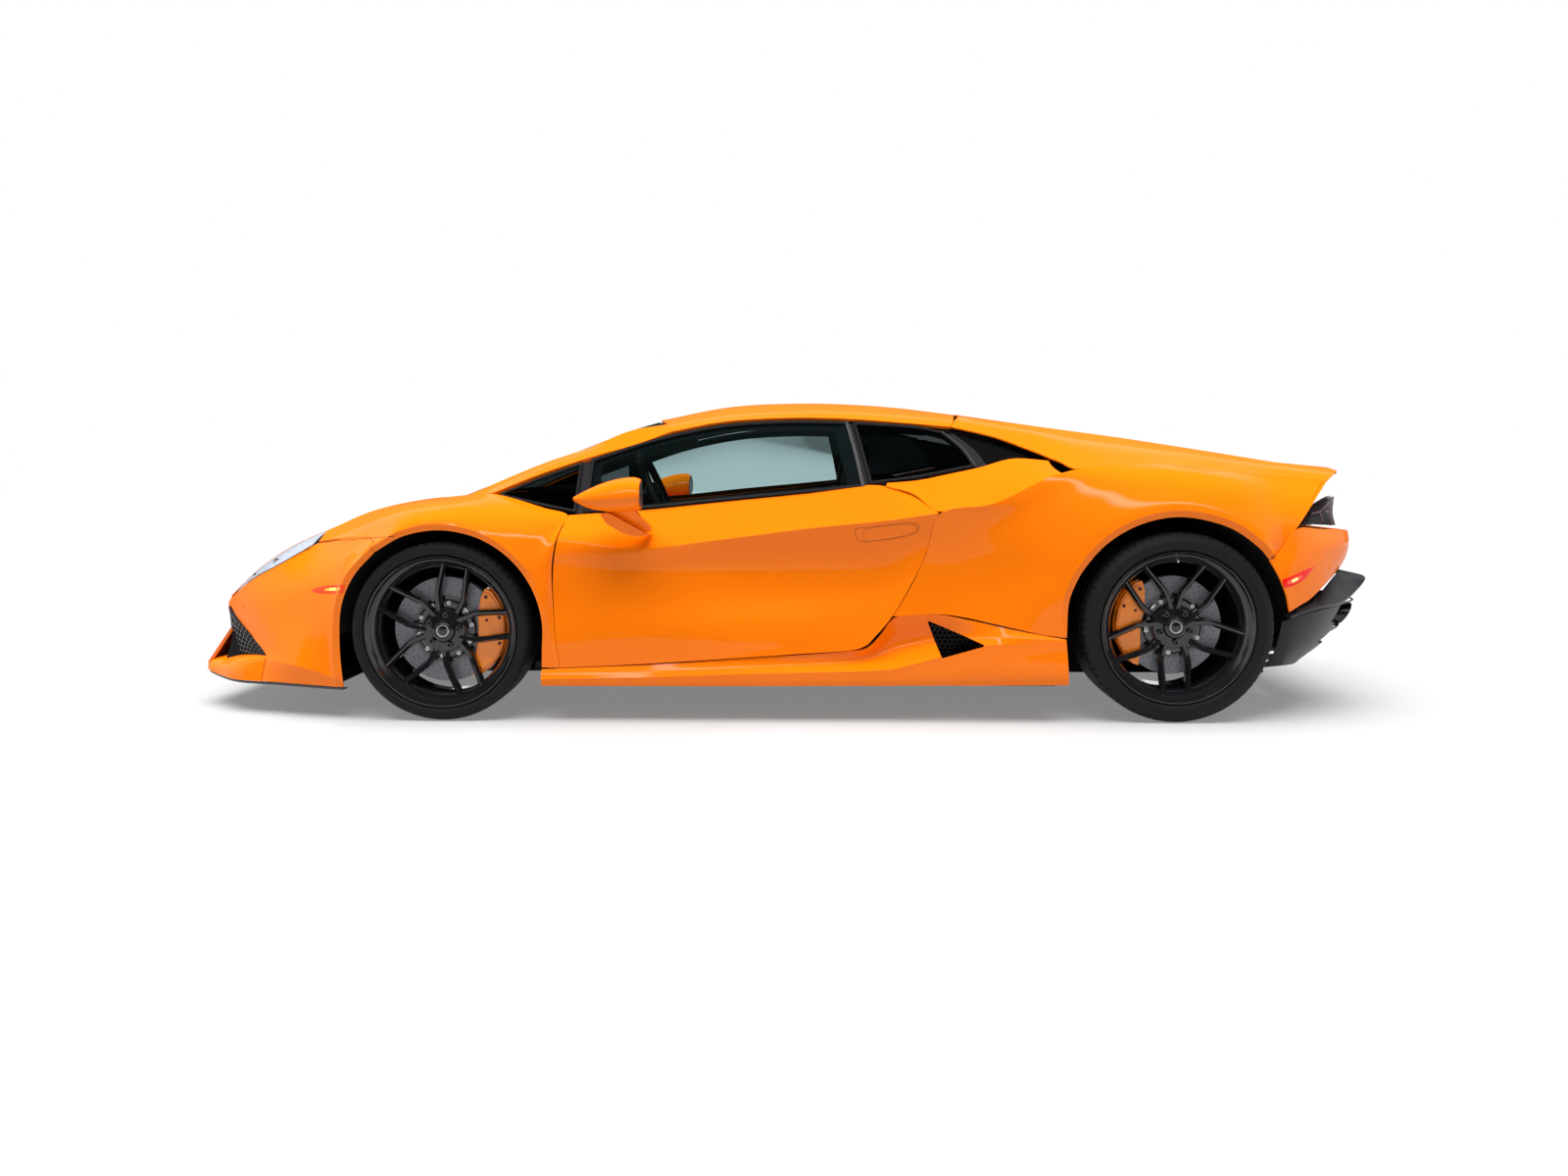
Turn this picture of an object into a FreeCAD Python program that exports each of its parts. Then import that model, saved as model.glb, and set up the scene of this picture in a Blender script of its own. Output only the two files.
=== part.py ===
import FreeCAD, Part
import os, math

os.makedirs("parts", exist_ok=True)
V = FreeCAD.Vector

# ---------------------------------------------------------------- driving dimensions (mm)
LENGTH = 4459.0
WIDTH = 1924.0
HEIGHT = 1165.0
WHEELBASE = 2620.0
FRONT_OVERHANG = 1015.0
AX_F = -LENGTH / 2 + FRONT_OVERHANG      # front axle station
AX_R = AX_F + WHEELBASE                  # rear axle station
TRACK_F = 1668.0
TRACK_R = 1620.0
TYRE_R_F = 321.0
TYRE_R_R = 340.0
TYRE_W_F = 242.0
TYRE_W_R = 300.0
RIM_R = 271.0
RIM_BEAD_R = 256.0
HUB_Z_F = TYRE_R_F
HUB_Z_R = TYRE_R_R
ARCH_R_F = 366.0
ARCH_R_R = 400.0
ARCH_Z_F = 318.0
ARCH_Z_R = 332.0
DISC_R_F = 190.0
DISC_R_R = 178.0
DISC_T_F = 34.0
DISC_T_R = 32.0
BOLT_PCD = 112.0
BOLT_R = 7.1
GAP = 4.0
SKIN = 8.0
LID_T = 14.0
GLASS_T = 5.0
DOOR_T = 92.0
DOOR_OPEN = 60.0
GROUND = 118.0


# ---------------------------------------------------------------- small helpers
def P(x, y, z):
    """Point given from the front axle station, moved to the part's frame."""
    return V(x + AX_F, y, z)


def spline(pts):
    """Centripetal curve through pts. Gives an evaluator and the knot of each point."""
    m = len(pts)
    if m == 2:
        return (lambda u: pts[0] + (pts[1] - pts[0]) * u), [0.0, 1.0]
    ext = [pts[0] * 2 - pts[1]] + list(pts) + [pts[-1] * 2 - pts[-2]]
    te = [0.0]
    for i in range(1, m + 2):
        te.append(te[-1] + max((ext[i] - ext[i - 1]).Length, 1e-6) ** 0.5)

    def ev(u):
        k = 1
        while k < m - 1 and u > te[k + 1]:
            k += 1
        p0, p1, p2, p3 = ext[k - 1], ext[k], ext[k + 1], ext[k + 2]
        t0, t1, t2, t3 = te[k - 1], te[k], te[k + 1], te[k + 2]
        a1 = p0 * ((t1 - u) / (t1 - t0)) + p1 * ((u - t0) / (t1 - t0))
        a2 = p1 * ((t2 - u) / (t2 - t1)) + p2 * ((u - t1) / (t2 - t1))
        a3 = p2 * ((t3 - u) / (t3 - t2)) + p3 * ((u - t2) / (t3 - t2))
        b1 = a1 * ((t2 - u) / (t2 - t0)) + a2 * ((u - t0) / (t2 - t0))
        b2 = a2 * ((t3 - u) / (t3 - t1)) + a3 * ((u - t1) / (t3 - t1))
        return b1 * ((t2 - u) / (t2 - t1)) + b2 * ((u - t1) / (t2 - t1))

    return ev, te[1:m + 1]


def crv(pts, n):
    """n points evenly spaced along the curve through pts."""
    ev, t = spline(pts)
    fine = [ev(t[0] + (t[-1] - t[0]) * i / 160.0) for i in range(161)]
    s = [0.0]
    for i in range(1, 161):
        s.append(s[-1] + (fine[i] - fine[i - 1]).Length)
    out = []
    k = 0
    for i in range(n):
        d = s[-1] * i / (n - 1.0)
        while k < 159 and s[k + 1] < d:
            k += 1
        f = (d - s[k]) / max(s[k + 1] - s[k], 1e-9)
        out.append(fine[k] + (fine[k + 1] - fine[k]) * min(max(f, 0.0), 1.0))
    return out


def crv_at(pts, kf):
    """Points of the curve at given places, each a knot number plus a fraction."""
    ev, t = spline(pts)
    return [ev(t[k] + f * (t[k + 1] - t[k])) for k, f in kf]


def trim(line, g0, g1):
    """Same line shortened by g0 at the start and g1 at the end."""
    s = [0.0]
    for i in range(1, len(line)):
        s.append(s[-1] + (line[i] - line[i - 1]).Length)
    a, b, n = g0, s[-1] - g1, len(line)
    out = []
    k = 0
    for i in range(n):
        d = a + (b - a) * i / (n - 1.0)
        while k < n - 2 and s[k + 1] < d:
            k += 1
        f = (d - s[k]) / max(s[k + 1] - s[k], 1e-9)
        out.append(line[k] + (line[k + 1] - line[k]) * f)
    return out


def grid(cols, nu, nv, gaps=(0, 0, 0, 0)):
    """cols: list of columns, each a list of points. Gives nu by nv points.
    gaps: first column, last column, row start, row end."""
    c = [crv(col, nv) for col in cols]
    m = len(c)
    cum = [0.0]
    for k in range(m - 1):
        cum.append(cum[-1] + sum((c[k + 1][j] - c[k][j]).Length for j in range(nv)) / nv)
    kf = []
    k = 0
    for i in range(nu):
        d = cum[-1] * i / (nu - 1.0)
        while k < m - 2 and cum[k + 1] < d:
            k += 1
        kf.append((k, min(max((d - cum[k]) / max(cum[k + 1] - cum[k], 1e-9), 0.0), 1.0)))
    rows = [trim(crv_at([c[i][j] for i in range(m)], kf), gaps[0], gaps[1]) for j in range(nv)]
    g = [[rows[j][i] for j in range(nv)] for i in range(nu)]
    return [trim(line, gaps[2], gaps[3]) for line in g]


def normals(g):
    nu, nv = len(g), len(g[0])
    out = []
    for i in range(nu):
        line = []
        for j in range(nv):
            a = g[min(i + 1, nu - 1)][j] - g[max(i - 1, 0)][j]
            b = g[i][min(j + 1, nv - 1)] - g[i][max(j - 1, 0)]
            n = a.cross(b)
            n.normalize()
            line.append(n)
        out.append(line)
    return out


def solid_between(go, gi):
    so = Part.BSplineSurface()
    so.interpolate(go)
    si = Part.BSplineSurface()
    si.interpolate(gi)
    fo, fi = so.toShape(), si.toShape()
    sides = []
    for a in fo.Edges:
        m = a.valueAt((a.FirstParameter + a.LastParameter) / 2)
        b = min(fi.Edges, key=lambda e: (e.valueAt((e.FirstParameter + e.LastParameter) / 2) - m).Length)
        sides.append(Part.makeRuledSurface(a, b))
    sh = Part.Shell([fo, fi] + sides)
    if not sh.isClosed():
        sh.sewShape()
    s = Part.Solid(sh)
    if s.Volume < 0:
        s.reverse()
    return s


def skin(g, t, toward=None, off=None):
    """Solid of thickness t behind grid g, on the side of the point toward."""
    nn = normals(g)
    i, j = len(g) // 2, len(g[0]) // 2
    tw = toward or V(0, 0, 450)
    sg = 1.0 if nn[i][j].dot(tw - g[i][j]) > 0 else -1.0
    o = off or 0.0
    go = [[g[a][b] + nn[a][b] * (sg * o) for b in range(len(g[0]))] for a in range(len(g))]
    gi = [[g[a][b] + nn[a][b] * (sg * (o + t)) for b in range(len(g[0]))] for a in range(len(g))]
    return solid_between(go, gi)


def mir(s):
    return s.mirror(V(0, 0, 0), V(0, 1, 0))


def box(x0, x1, y0, y1, z0, z1):
    return Part.makeBox(x1 - x0, y1 - y0, z1 - z0, V(x0 + AX_F, y0, z0))


def cyl(x, y0, y1, z, r):
    return Part.makeCylinder(r, y1 - y0, V(x, y0, z), V(0, 1, 0))


def prism_y(pts, y0, y1):
    w = Part.makePolygon([V(x + AX_F, y0, z) for x, z in pts] + [V(pts[0][0] + AX_F, y0, pts[0][1])])
    return Part.Face(w).extrude(V(0, y1 - y0, 0))


def prism_z(pts, z0, z1):
    w = Part.makePolygon([V(x + AX_F, y, z0) for x, y in pts] + [V(pts[0][0] + AX_F, pts[0][1], z0)])
    return Part.Face(w).extrude(V(0, 0, z1 - z0))


def bar(a, b, r):
    d = b - a
    return Part.makeCylinder(r, d.Length, a, d)


def fuse(lst):
    s = lst[0]
    for o in lst[1:]:
        s = s.fuse(o)
    return s.removeSplitter()


NODES = {}


def add(name, shape):
    NODES[name] = shape


def pair(name, s):
    add(name + "_left", s)
    add(name + "_right", mir(s))


def both(name, s):
    add(name, Part.Compound([s, mir(s)]))


def arch(ax, z, r, deg, y):
    a = math.radians(deg)
    return P(ax + r * math.cos(a), y, z + r * math.sin(a))


def AF(deg, y=-950.0):
    return arch(0.0, ARCH_Z_F, ARCH_R_F, deg, y)


def AR(deg, y=-960.0):
    return arch(WHEELBASE, ARCH_Z_R, ARCH_R_R, deg, y)


# ---------------------------------------------------------------- front wing
FENDER_F = [
    [AF(128, -948), P(-232, -930, 634), P(-262, -872, 651), P(-366, -780, 651), P(-508, -672, 633)],
    [AF(110, -951), P(-130, -944, 692), P(-150, -890, 722), P(-215, -770, 746), P(-330, -580, 746)],
    [AF(90, -953), P(0, -945, 718), P(0, -890, 752), P(-10, -780, 780), P(-20, -596, 797)],
    [AF(72, -952), P(140, -930, 708), P(152, -880, 748), P(152, -800, 779), P(140, -696, 808)],
    [AF(60, -951), P(215, -938, 672), P(258, -903, 712), P(305, -838, 750), P(345, -768, 757)],
    [AF(50, -951), P(272, -940, 630), P(325, -915, 665), P(380, -862, 712), P(436, -803, 733)],
    [AF(40, -949), P(310, -940, 583), P(348, -920, 625), P(386, -892, 664), P(422, -860, 692)],
    [AF(30, -947), P(338, -941, 532), P(362, -930, 573), P(388, -916, 615), P(410, -904, 650)],
    [AF(22, -946), P(354, -941, 484), P(372, -931, 525), P(388, -920, 563), P(401, -911, 600)],
    [AF(14, -945), P(366, -941, 432), P(378, -933, 468), P(388, -922, 508), P(397, -911, 548)],
    [AF(4, -944), P(373, -940, 362), P(382, -935, 384), P(391, -927, 406), P(400, -916, 430)],
    [P(362, -938, 255), P(372, -937, 262), P(385, -935, 273), P(398, -933, 282), P(411, -932, 290)],
    [P(360, -936, 193), P(376, -936, 193), P(392, -935, 192), P(408, -934, 192), P(425, -934, 191)],
]
FENDER_F[0].append(P(-519, -594, 661))
for k in range(1, len(FENDER_F)):
    a, b = FENDER_F[k][-2], FENDER_F[k][-1]
    FENDER_F[k].insert(len(FENDER_F[k]) - 1, a + (b - a) * 0.8)
both("front_fenders", skin(grid(FENDER_F, 31, 10, (3, 3, 0, 4)), SKIN, toward=V(AX_F, -500, 300)))

# ---------------------------------------------------------------- front bumper and lip
BUMP_F = [
    [P(-700, -815, 122), P(-690, -792, 212), P(-770, -720, 275), P(-860, -640, 340), P(-907, -600, 394)],
    [P(-620, -842, 121), P(-615, -832, 225), P(-665, -790, 312), P(-740, -725, 400), P(-790, -662, 480)],
    [P(-540, -868, 120), P(-535, -862, 235), P(-560, -830, 340), P(-610, -775, 450), P(-655, -695, 549)],
    [P(-470, -890, 119), P(-460, -888, 245), P(-465, -868, 370), P(-485, -815, 500), P(-526, -672, 622)],
    [P(-405, -910, 118), P(-405, -912, 260), P(-392, -905, 400), P(-372, -875, 530), P(-366, -784, 646)],
    [P(-381, -919, 118), P(-384, -926, 270), P(-358, -928, 430), P(-306, -922, 558), P(-250, -898, 645)],
    [P(-358, -925, 118), P(-366, -936, 280), AF(164, -943), AF(146, -947), AF(129, -946)],
]
bump_side = skin(grid(BUMP_F, 21, 11, (0, 0, 0, 7)), SKIN)
NOSE = [
    [P(-900, -606, 378), P(-903, -602, 386), P(-903, -598, 396)],
    [P(-972, -450, 344), P(-970, -450, 376), P(-950, -450, 408)],
    [P(-1000, -220, 318), P(-998, -220, 362), P(-980, -220, 408)],
    [P(-1006, 0, 300), P(-1006, 0, 352), P(-988, 0, 408)],
]
nose_full = NOSE + [[V(p.x, -p.y, p.z) for p in c] for c in reversed(NOSE[:-1])]
nose = skin(grid(nose_full, 21, 5), 10.0, toward=V(AX_F, 0, 300))
chin = prism_y([(-1006, 150), (-1004, 330), (-960, 330), (-930, 150)], -70, 70)
bump_parts = [bump_side, mir(bump_side), nose.fuse(chin)]

LIP = [
    [P(-1015, 0, 136), P(-1014, 0, 152), P(-990, 0, 160)],
    [P(-1012, -300, 136), P(-1010, -300, 154), P(-985, -300, 162)],
    [P(-1003, -590, 135), P(-1000, -585, 158), P(-972, -570, 170)],
    [P(-930, -668, 124), P(-925, -660, 155), P(-905, -640, 176)],
    [P(-815, -770, 120), P(-812, -764, 160), P(-800, -750, 190)],
    [P(-705, -812, 119), P(-700, -806, 165), P(-692, -790, 205)],
]
lip_full = [[V(p.x, -p.y, p.z) for p in c] for c in reversed(LIP[1:])] + LIP
lip_s = skin(grid(lip_full, 41, 6, (3.0, 3.0, 0, 0)), 16.0, toward=V(AX_F + 300, 0, 150))
add("front_bumper", Part.Compound(bump_parts + [lip_s]))

# ---------------------------------------------------------------- front lid
LID = [
    [P(-905, -585, 412), P(-948, -440, 416), P(-975, -220, 418), P(-984, 0, 418)],
    [P(-768, -610, 531), P(-800, -440, 526), P(-826, -220, 520), P(-835, 0, 518)],
    [P(-643, -597, 613), P(-665, -430, 606), P(-690, -210, 600), P(-700, 0, 598)],
    [P(-521, -580, 668), P(-535, -420, 664), P(-550, -210, 660), P(-555, 0, 658)],
    [P(-316, -572, 750), P(-330, -400, 744), P(-345, -200, 739), P(-350, 0, 738)],
    [P(-120, -580, 788), P(-160, -400, 781), P(-215, -200, 771), P(-230, 0, 768)],
    [P(-8, -590, 797), P(-55, -400, 793), P(-112, -200, 787), P(-128, 0, 785)],
]
LIDFULL = [c + [V(p.x, -p.y, p.z) for p in reversed(c[:-1])] for c in LID]
add("front_lid", skin(grid(LIDFULL, 21, 21, (5, 5, 7, 7)), LID_T, toward=V(AX_F, 0, 200)))

# ---------------------------------------------------------------- headlights
HL = [
    [P(-880, -612, 412), P(-862, -606, 440), P(-842, -602, 468)],
    [P(-790, -664, 484), P(-775, -640, 508), P(-765, -614, 532)],
    [P(-655, -698, 553), P(-645, -655, 585), P(-640, -602, 613)],
    [P(-545, -682, 618), P(-535, -645, 640), P(-522, -586, 667)],
]
both("headlights", skin(grid(HL, 13, 7, (8, 7, 11, 5)), 10.0, toward=V(AX_F, 0, 300)))

# ---------------------------------------------------------------- pillars, roof, glass
DLO_TOP = [P(143, -700, 808), P(314, -684, 877), P(497, -656, 940), P(673, -626, 991), P(800, -601, 1037)]
APL = [
    [P(140, -696, 811), P(90, -650, 808), P(20, -592, 800)],
    [P(314, -682, 880), P(310, -635, 902), P(300, -572, 918)],
    [P(497, -654, 943), P(492, -605, 965), P(482, -556, 981)],
    [P(673, -624, 994), P(660, -580, 1022), P(630, -538, 1043)],
    [P(795, -601, 1040), P(785, -555, 1056), P(770, -520, 1069)],
]
apil = skin(grid(APL, 17, 5, (0, 3, 0, 0)), 26.0, toward=V(AX_F + 1200, 0, 600))
ROOF = [
    [P(800, -600, 1041), P(778, -530, 1066), P(728, -290, 1090), P(706, 0, 1098)],
    [P(1000, -592, 1078), P(1000, -530, 1100), P(1000, -280, 1142), P(1000, 0, 1152)],
    [P(1268, -586, 1092), P(1268, -525, 1115), P(1268, -280, 1156), P(1268, 0, 1165)],
    [P(1474, -585, 1087), P(1474, -522, 1112), P(1474, -280, 1152), P(1474, 0, 1161)],
    [P(1681, -580, 1072), P(1681, -515, 1098), P(1681, -280, 1137), P(1681, 0, 1146)],
    [P(1850, -560, 1058), P(1866, -505, 1080), P(1888, -280, 1112), P(1892, 0, 1120)],
]
ROOFFULL = [c + [V(p.x, -p.y, p.z) for p in reversed(c[:-1])] for c in ROOF]
roof_parts = [skin(grid(ROOFFULL, 17, 21, (3, 0, 0, 0)), 24.0)]
WS = [
    [P(28, -586, 803), P(-30, -400, 799), P(-85, -200, 794), P(-104, 0, 791)],
    [P(300, -566, 915), P(262, -380, 916), P(232, -190, 917), P(222, 0, 917)],
    [P(482, -550, 978), P(448, -370, 985), P(424, -185, 990), P(416, 0, 991)],
    [P(630, -532, 1040), P(600, -350, 1046), P(574, -175, 1050), P(566, 0, 1051)],
    [P(768, -512, 1068), P(728, -340, 1084), P(708, -170, 1090), P(700, 0, 1092)],
]
WSFULL = [c + [V(p.x, -p.y, p.z) for p in reversed(c[:-1])] for c in WS]
add("roof_panel", Part.Compound(roof_parts + [apil, mir(apil)]))
fixed_glass = [skin(grid(WSFULL, 13, 17, (2, 4, 4, 4)), GLASS_T, toward=V(AX_F + 1200, 0, 600))]

FQ = [
    [P(170, -708, 801), P(175, -704, 812)],
    [P(300, -752, 770), P(318, -690, 872)],
    [P(470, -795, 738), P(478, -664, 930)],
]
fq = skin(grid(FQ, 9, 5, (6, 11, 14, 8)), GLASS_T, toward=V(AX_F + 500, 0, 800))

# ---------------------------------------------------------------- doors
DOOR = [
    [P(425, -934, 191), P(411, -932, 290), P(401, -916, 430), P(401, -910, 546), P(416, -902, 650), P(441, -803, 733)],
    [P(700, -938, 208), P(697, -935, 330), P(694, -915, 440), P(690, -905, 540), P(690, -912, 618), P(705, -803, 751)],
    [P(1000, -938, 228), P(1000, -930, 345), P(1000, -900, 450), P(1000, -892, 560), P(1000, -915, 650), P(1000, -808, 781)],
    [P(1280, -936, 248), P(1290, -925, 360), P(1300, -890, 465), P(1310, -885, 580), P(1310, -920, 690), P(1300, -815, 812)],
    [P(1487, -931, 262), P(1530, -915, 370), P(1580, -890, 490), P(1610, -890, 600), P(1620, -928, 722), P(1560, -828, 842)],
    [P(1526, -929, 277), P(1607, -922, 371), P(1699, -905, 529), P(1751, -905, 655), P(1774, -930, 745), P(1681, -850, 811)],
]
dg = grid(DOOR, 19, 17, (5, 4, 3, 4))
ndu = len(dg) - 1.0


def sstep(a, b, x):
    t = min(max((x - a) / (b - a), 0.0), 1.0)
    return t * t * (3 - 2 * t)


def door_depth(i, p):
    front = (1.0 - sstep(0.0, 3.0, i)) * sstep(430.0, 560.0, p.z)
    rear = sstep(ndu - 4.0, ndu, i) * sstep(600.0, 700.0, p.z)
    return DOOR_T * (1.0 - max(front, rear)) + 10.0 * max(front, rear)


door_in = [[p + V(4.0 - 22.0 * (i / ndu), door_depth(i, p), 0) for p in line] for i, line in enumerate(dg)]
pair("door", solid_between(dg, door_in))


def edge_cutter(line, shifts):
    """Volume on the door side of a door edge, shut-line clearance included."""
    o = [[p + V(d, -30, 0) for p in line] for d in shifts]
    i = [[p + V(d, 60, 0) for p in line] for d in shifts]
    return solid_between(o, i)


door_full = grid(DOOR, 19, 17)
rear_cut = edge_cutter(door_full[-1], (6.0, -14.0, -34.0, -60.0))

DG = [
    [P(492, -800, 742), P(496, -728, 846), P(500, -652, 938)],
    [P(705, -806, 756), P(730, -720, 885), P(760, -606, 1022)],
    [P(1000, -810, 786), P(1000, -720, 925), P(1000, -596, 1070)],
    [P(1270, -818, 812), P(1260, -720, 945), P(1250, -590, 1085)],
    [P(1520, -828, 838), P(1495, -725, 958), P(1464, -590, 1080)],
]
pair("door_glass", skin(grid(DG, 13, 7, (2, 6, 2, 14)), GLASS_T, toward=V(AX_F + 1100, 0, 700), off=4.0))

RQ = [
    [P(1532, -824, 846), P(1505, -725, 958), P(1476, -592, 1078)],
    [P(1680, -812, 864), P(1650, -710, 965), P(1625, -588, 1070)],
    [P(1770, -800, 880), P(1750, -700, 970), P(1735, -582, 1060)],
    [P(1918, -772, 910), P(1880, -680, 975), P(1812, -575, 1040)],
]
rq = skin(grid(RQ, 11, 7, (4, 2, 5, 6)), GLASS_T, toward=V(AX_F + 1300, 0, 700), off=4.0)
add("fixed_glass", Part.Compound(fixed_glass + [fq, mir(fq), rq, mir(rq)]))

# ---------------------------------------------------------------- mirrors
def ell(c, rx, ry, rz):
    s = Part.makeSphere(1.0)
    m = FreeCAD.Matrix()
    m.scale(rx, ry, rz)
    s = s.transformGeometry(m)
    s.translate(c)
    return s

MH = [
    [P(505, -1035, 796), P(505, -1040, 800), P(508, -1035, 806)],
    [P(555, -960, 768), P(548, -1035, 790), P(560, -965, 838)],
    [P(640, -945, 757), P(600, -1075, 795), P(640, -950, 866)],
    [P(715, -940, 760), P(690, -1100, 800), P(715, -945, 868)],
]
mh = Part.makeLoft([Part.makePolygon([P(520, -1000, 785), P(520, -1030, 785), P(520, -1040, 812), P(520, -1000, 820), P(520, -1000, 785)]),
                    Part.makePolygon([P(600, -930, 758), P(600, -1060, 768), P(600, -1075, 830), P(600, -940, 852), P(600, -930, 758)]),
                    Part.makePolygon([P(700, -925, 757), P(700, -1075, 766), P(700, -1094, 836), P(700, -940, 868), P(700, -925, 757)]),
                    Part.makePolygon([P(735, -925, 762), P(735, -1070, 770), P(735, -1085, 832), P(735, -940, 858), P(735, -925, 762)])], True, True)
marm = Part.makeLoft([Part.makePolygon([P(620, -935, 775), P(700, -935, 775), P(700, -935, 790), P(620, -935, 790), P(620, -935, 775)]),
                      Part.makePolygon([P(660, -870, 672), P(770, -870, 700), P(765, -870, 712), P(655, -870, 684), P(660, -870, 672)])], True, True)
pair("mirror", mh.fuse(marm))

# ---------------------------------------------------------------- sills
SILL = [
    [P(360, -900, 126), P(360, -946, 130), P(360, -956, 154), P(360, -948, 172), P(360, -938, 187)],
    [P(750, -900, 127), P(750, -948, 131), P(750, -958, 163), P(750, -946, 184), P(750, -934, 205)],
    [P(1122, -900, 128), P(1122, -948, 132), P(1122, -958, 176), P(1122, -938, 202), P(1122, -932, 230)],
    [P(1450, -900, 129), P(1450, -948, 134), P(1450, -958, 184), P(1450, -920, 218), P(1450, -926, 252)],
    [P(1525, -900, 130), P(1525, -948, 134), P(1525, -959, 187), P(1524, -905, 228), P(1526, -922, 264)],
    [P(1572, -900, 130), P(1572, -948, 134), P(1572, -959, 190), P(1570, -890, 242), P(1576, -919, 312)],
    [P(1621, -900, 130), P(1621, -948, 135), P(1621, -959, 195), P(1618, -880, 266), P(1622, -915, 372)],
    [P(1783, -900, 131), P(1783, -950, 137), P(1783, -960, 238), P(1775, -890, 300), P(1755, -914, 384)],
    [P(1918, -900, 132), P(1918, -952, 138), P(1918, -961, 274), P(1905, -930, 305), P(1880, -922, 366)],
    [P(2060, -900, 133), P(2060, -954, 140), P(2030, -961, 285), P(2035, -955, 308), P(2038, -938, 334)],
    [P(2236, -900, 134), P(2236, -956, 142), P(2224, -961, 290), P(2223, -961, 296), P(2222, -960, 301)],
]
sill = skin(grid(SILL, 29, 13, (0, 0, 0, 3)), 8.0, toward=V(AX_F + 1200, 0, 220))
intake_cut = prism_y([(1738, 361), (1931, 279), (1783, 236)], -990, -860)
both("side_sills", sill.cut(intake_cut))

# ---------------------------------------------------------------- rear wing, shoulder, buttress
FENDER_R = [
    [P(2226, -957, 309), P(2120, -950, 325), P(2000, -938, 351), P(1800, -916, 388), P(1616, -918, 383)],
    [AR(165), P(2150, -950, 450), P(2020, -925, 480), P(1850, -908, 500), P(1678, -907, 478)],
    [AR(156), P(2190, -951, 515), P(2065, -928, 555), P(1898, -909, 590), P(1737, -905, 606)],
    [AR(148), P(2225, -952, 580), P(2110, -932, 630), P(1940, -915, 680), P(1781, -928, 742)],
    [AR(130), P(2330, -952, 680), P(2250, -930, 735), P(2110, -915, 768), P(1962, -925, 778)],
    [AR(110), P(2465, -950, 755), P(2400, -915, 820), P(2310, -890, 860), P(2210, -880, 886)],
    [AR(90), P(2620, -948, 785), P(2600, -905, 850), P(2570, -850, 893), P(2530, -782, 920)],
    [AR(65), P(2805, -946, 745), P(2825, -900, 815), P(2835, -840, 860), P(2840, -762, 890)],
    [AR(47), P(2930, -940, 665), P(2965, -890, 740), P(3000, -820, 808), P(3030, -724, 871)],
    [AR(39, -952), P(2960, -925, 600), P(3045, -885, 692), P(3120, -825, 775), P(3203, -732, 856)],
]
rf = skin(grid(FENDER_R, 27, 11, (4, 2, 0, 10)), SKIN, toward=V(AX_R, -500, 300))
SHO = [
    [P(1625, -842, 832), P(1622, -836, 838), P(1618, -830, 843)],
    [P(1690, -862, 812), P(1700, -835, 835), P(1710, -810, 860)],
    [P(1778, -926, 749), P(1790, -860, 815), P(1800, -795, 878)],
    [P(1960, -924, 782), P(1945, -850, 845), P(1930, -772, 905)],
    [P(2098, -904, 828), P(2080, -830, 880), P(2060, -760, 922)],
    [P(2195, -884, 884), P(2190, -820, 900), P(2185, -770, 912)],
]
rs = skin(grid(SHO, 15, 7, (13, 2, 13, 2)), SKIN, toward=V(AX_F + 1800, 0, 400))
BUT = [
    [P(1850, -560, 1058), P(1870, -505, 1083), P(1894, -440, 1102)],
    [P(2008, -622, 1018), P(2010, -525, 1062), P(2012, -432, 1086)],
    [P(2142, -692, 964), P(2147, -565, 1030), P(2152, -432, 1068)],
    [P(2262, -810, 916), P(2280, -640, 995), P(2290, -442, 1050)],
    [P(2530, -776, 926), P(2520, -640, 975), P(2500, -472, 1019)],
    [P(2840, -757, 895), P(2815, -645, 942), P(2780, -512, 974)],
    [P(3030, -720, 876), P(3045, -650, 905), P(3060, -562, 927)],
    [P(3207, -726, 862), P(3250, -672, 882), P(3288, -602, 893)],
]
rb = skin(grid(BUT, 21, 9, (4, 0, 2, 3)), SKIN, toward=V(AX_F + 2400, 0, 400))
rf = rf.cut(rear_cut)
rs = rs.cut(rear_cut)
add("rear_fenders", Part.Compound([rf, mir(rf), rs, mir(rs), rb, mir(rb)]))
INT = [
    [P(1832, -566, 1040), P(1870, -660, 980), P(1930, -760, 914)],
    [P(1990, -600, 1010), P(2010, -670, 965), P(2020, -742, 915)],
    [P(2120, -665, 958), P(2125, -700, 940), P(2130, -735, 915)],
]
qi = skin(grid(INT, 9, 7, (2, 0, 3, 4)), 10.0, toward=V(AX_F + 1500, 0, 800), off=14.0)

# ---------------------------------------------------------------- engine lid, tail
ELID = [
    [P(1898, -434, 1104), P(1900, -220, 1116), P(1902, 0, 1120)],
    [P(2152, -426, 1069), P(2152, -220, 1080), P(2152, 0, 1084)],
    [P(2500, -466, 1020), P(2500, -230, 1030), P(2500, 0, 1034)],
    [P(2780, -506, 975), P(2780, -250, 985), P(2780, 0, 989)],
    [P(3050, -554, 929), P(3050, -275, 940), P(3050, 0, 944)],
]
ELIDF = [c + [V(p.x, -p.y, p.z) for p in reversed(c[:-1])] for c in ELID]
add("engine_lid", skin(grid(ELIDF, 15, 15, (6, 5, 3, 3)), LID_T, toward=V(AX_F + 2400, 0, 300)))
SPO = [
    [P(3056, -556, 927), P(3056, -275, 938), P(3056, 0, 942)],
    [P(3180, -580, 909), P(3200, -290, 922), P(3210, 0, 925)],
    [P(3292, -598, 894), P(3362, -300, 906), P(3385, 0, 908)],
]
SPOF = [c + [V(p.x, -p.y, p.z) for p in reversed(c[:-1])] for c in SPO]
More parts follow.
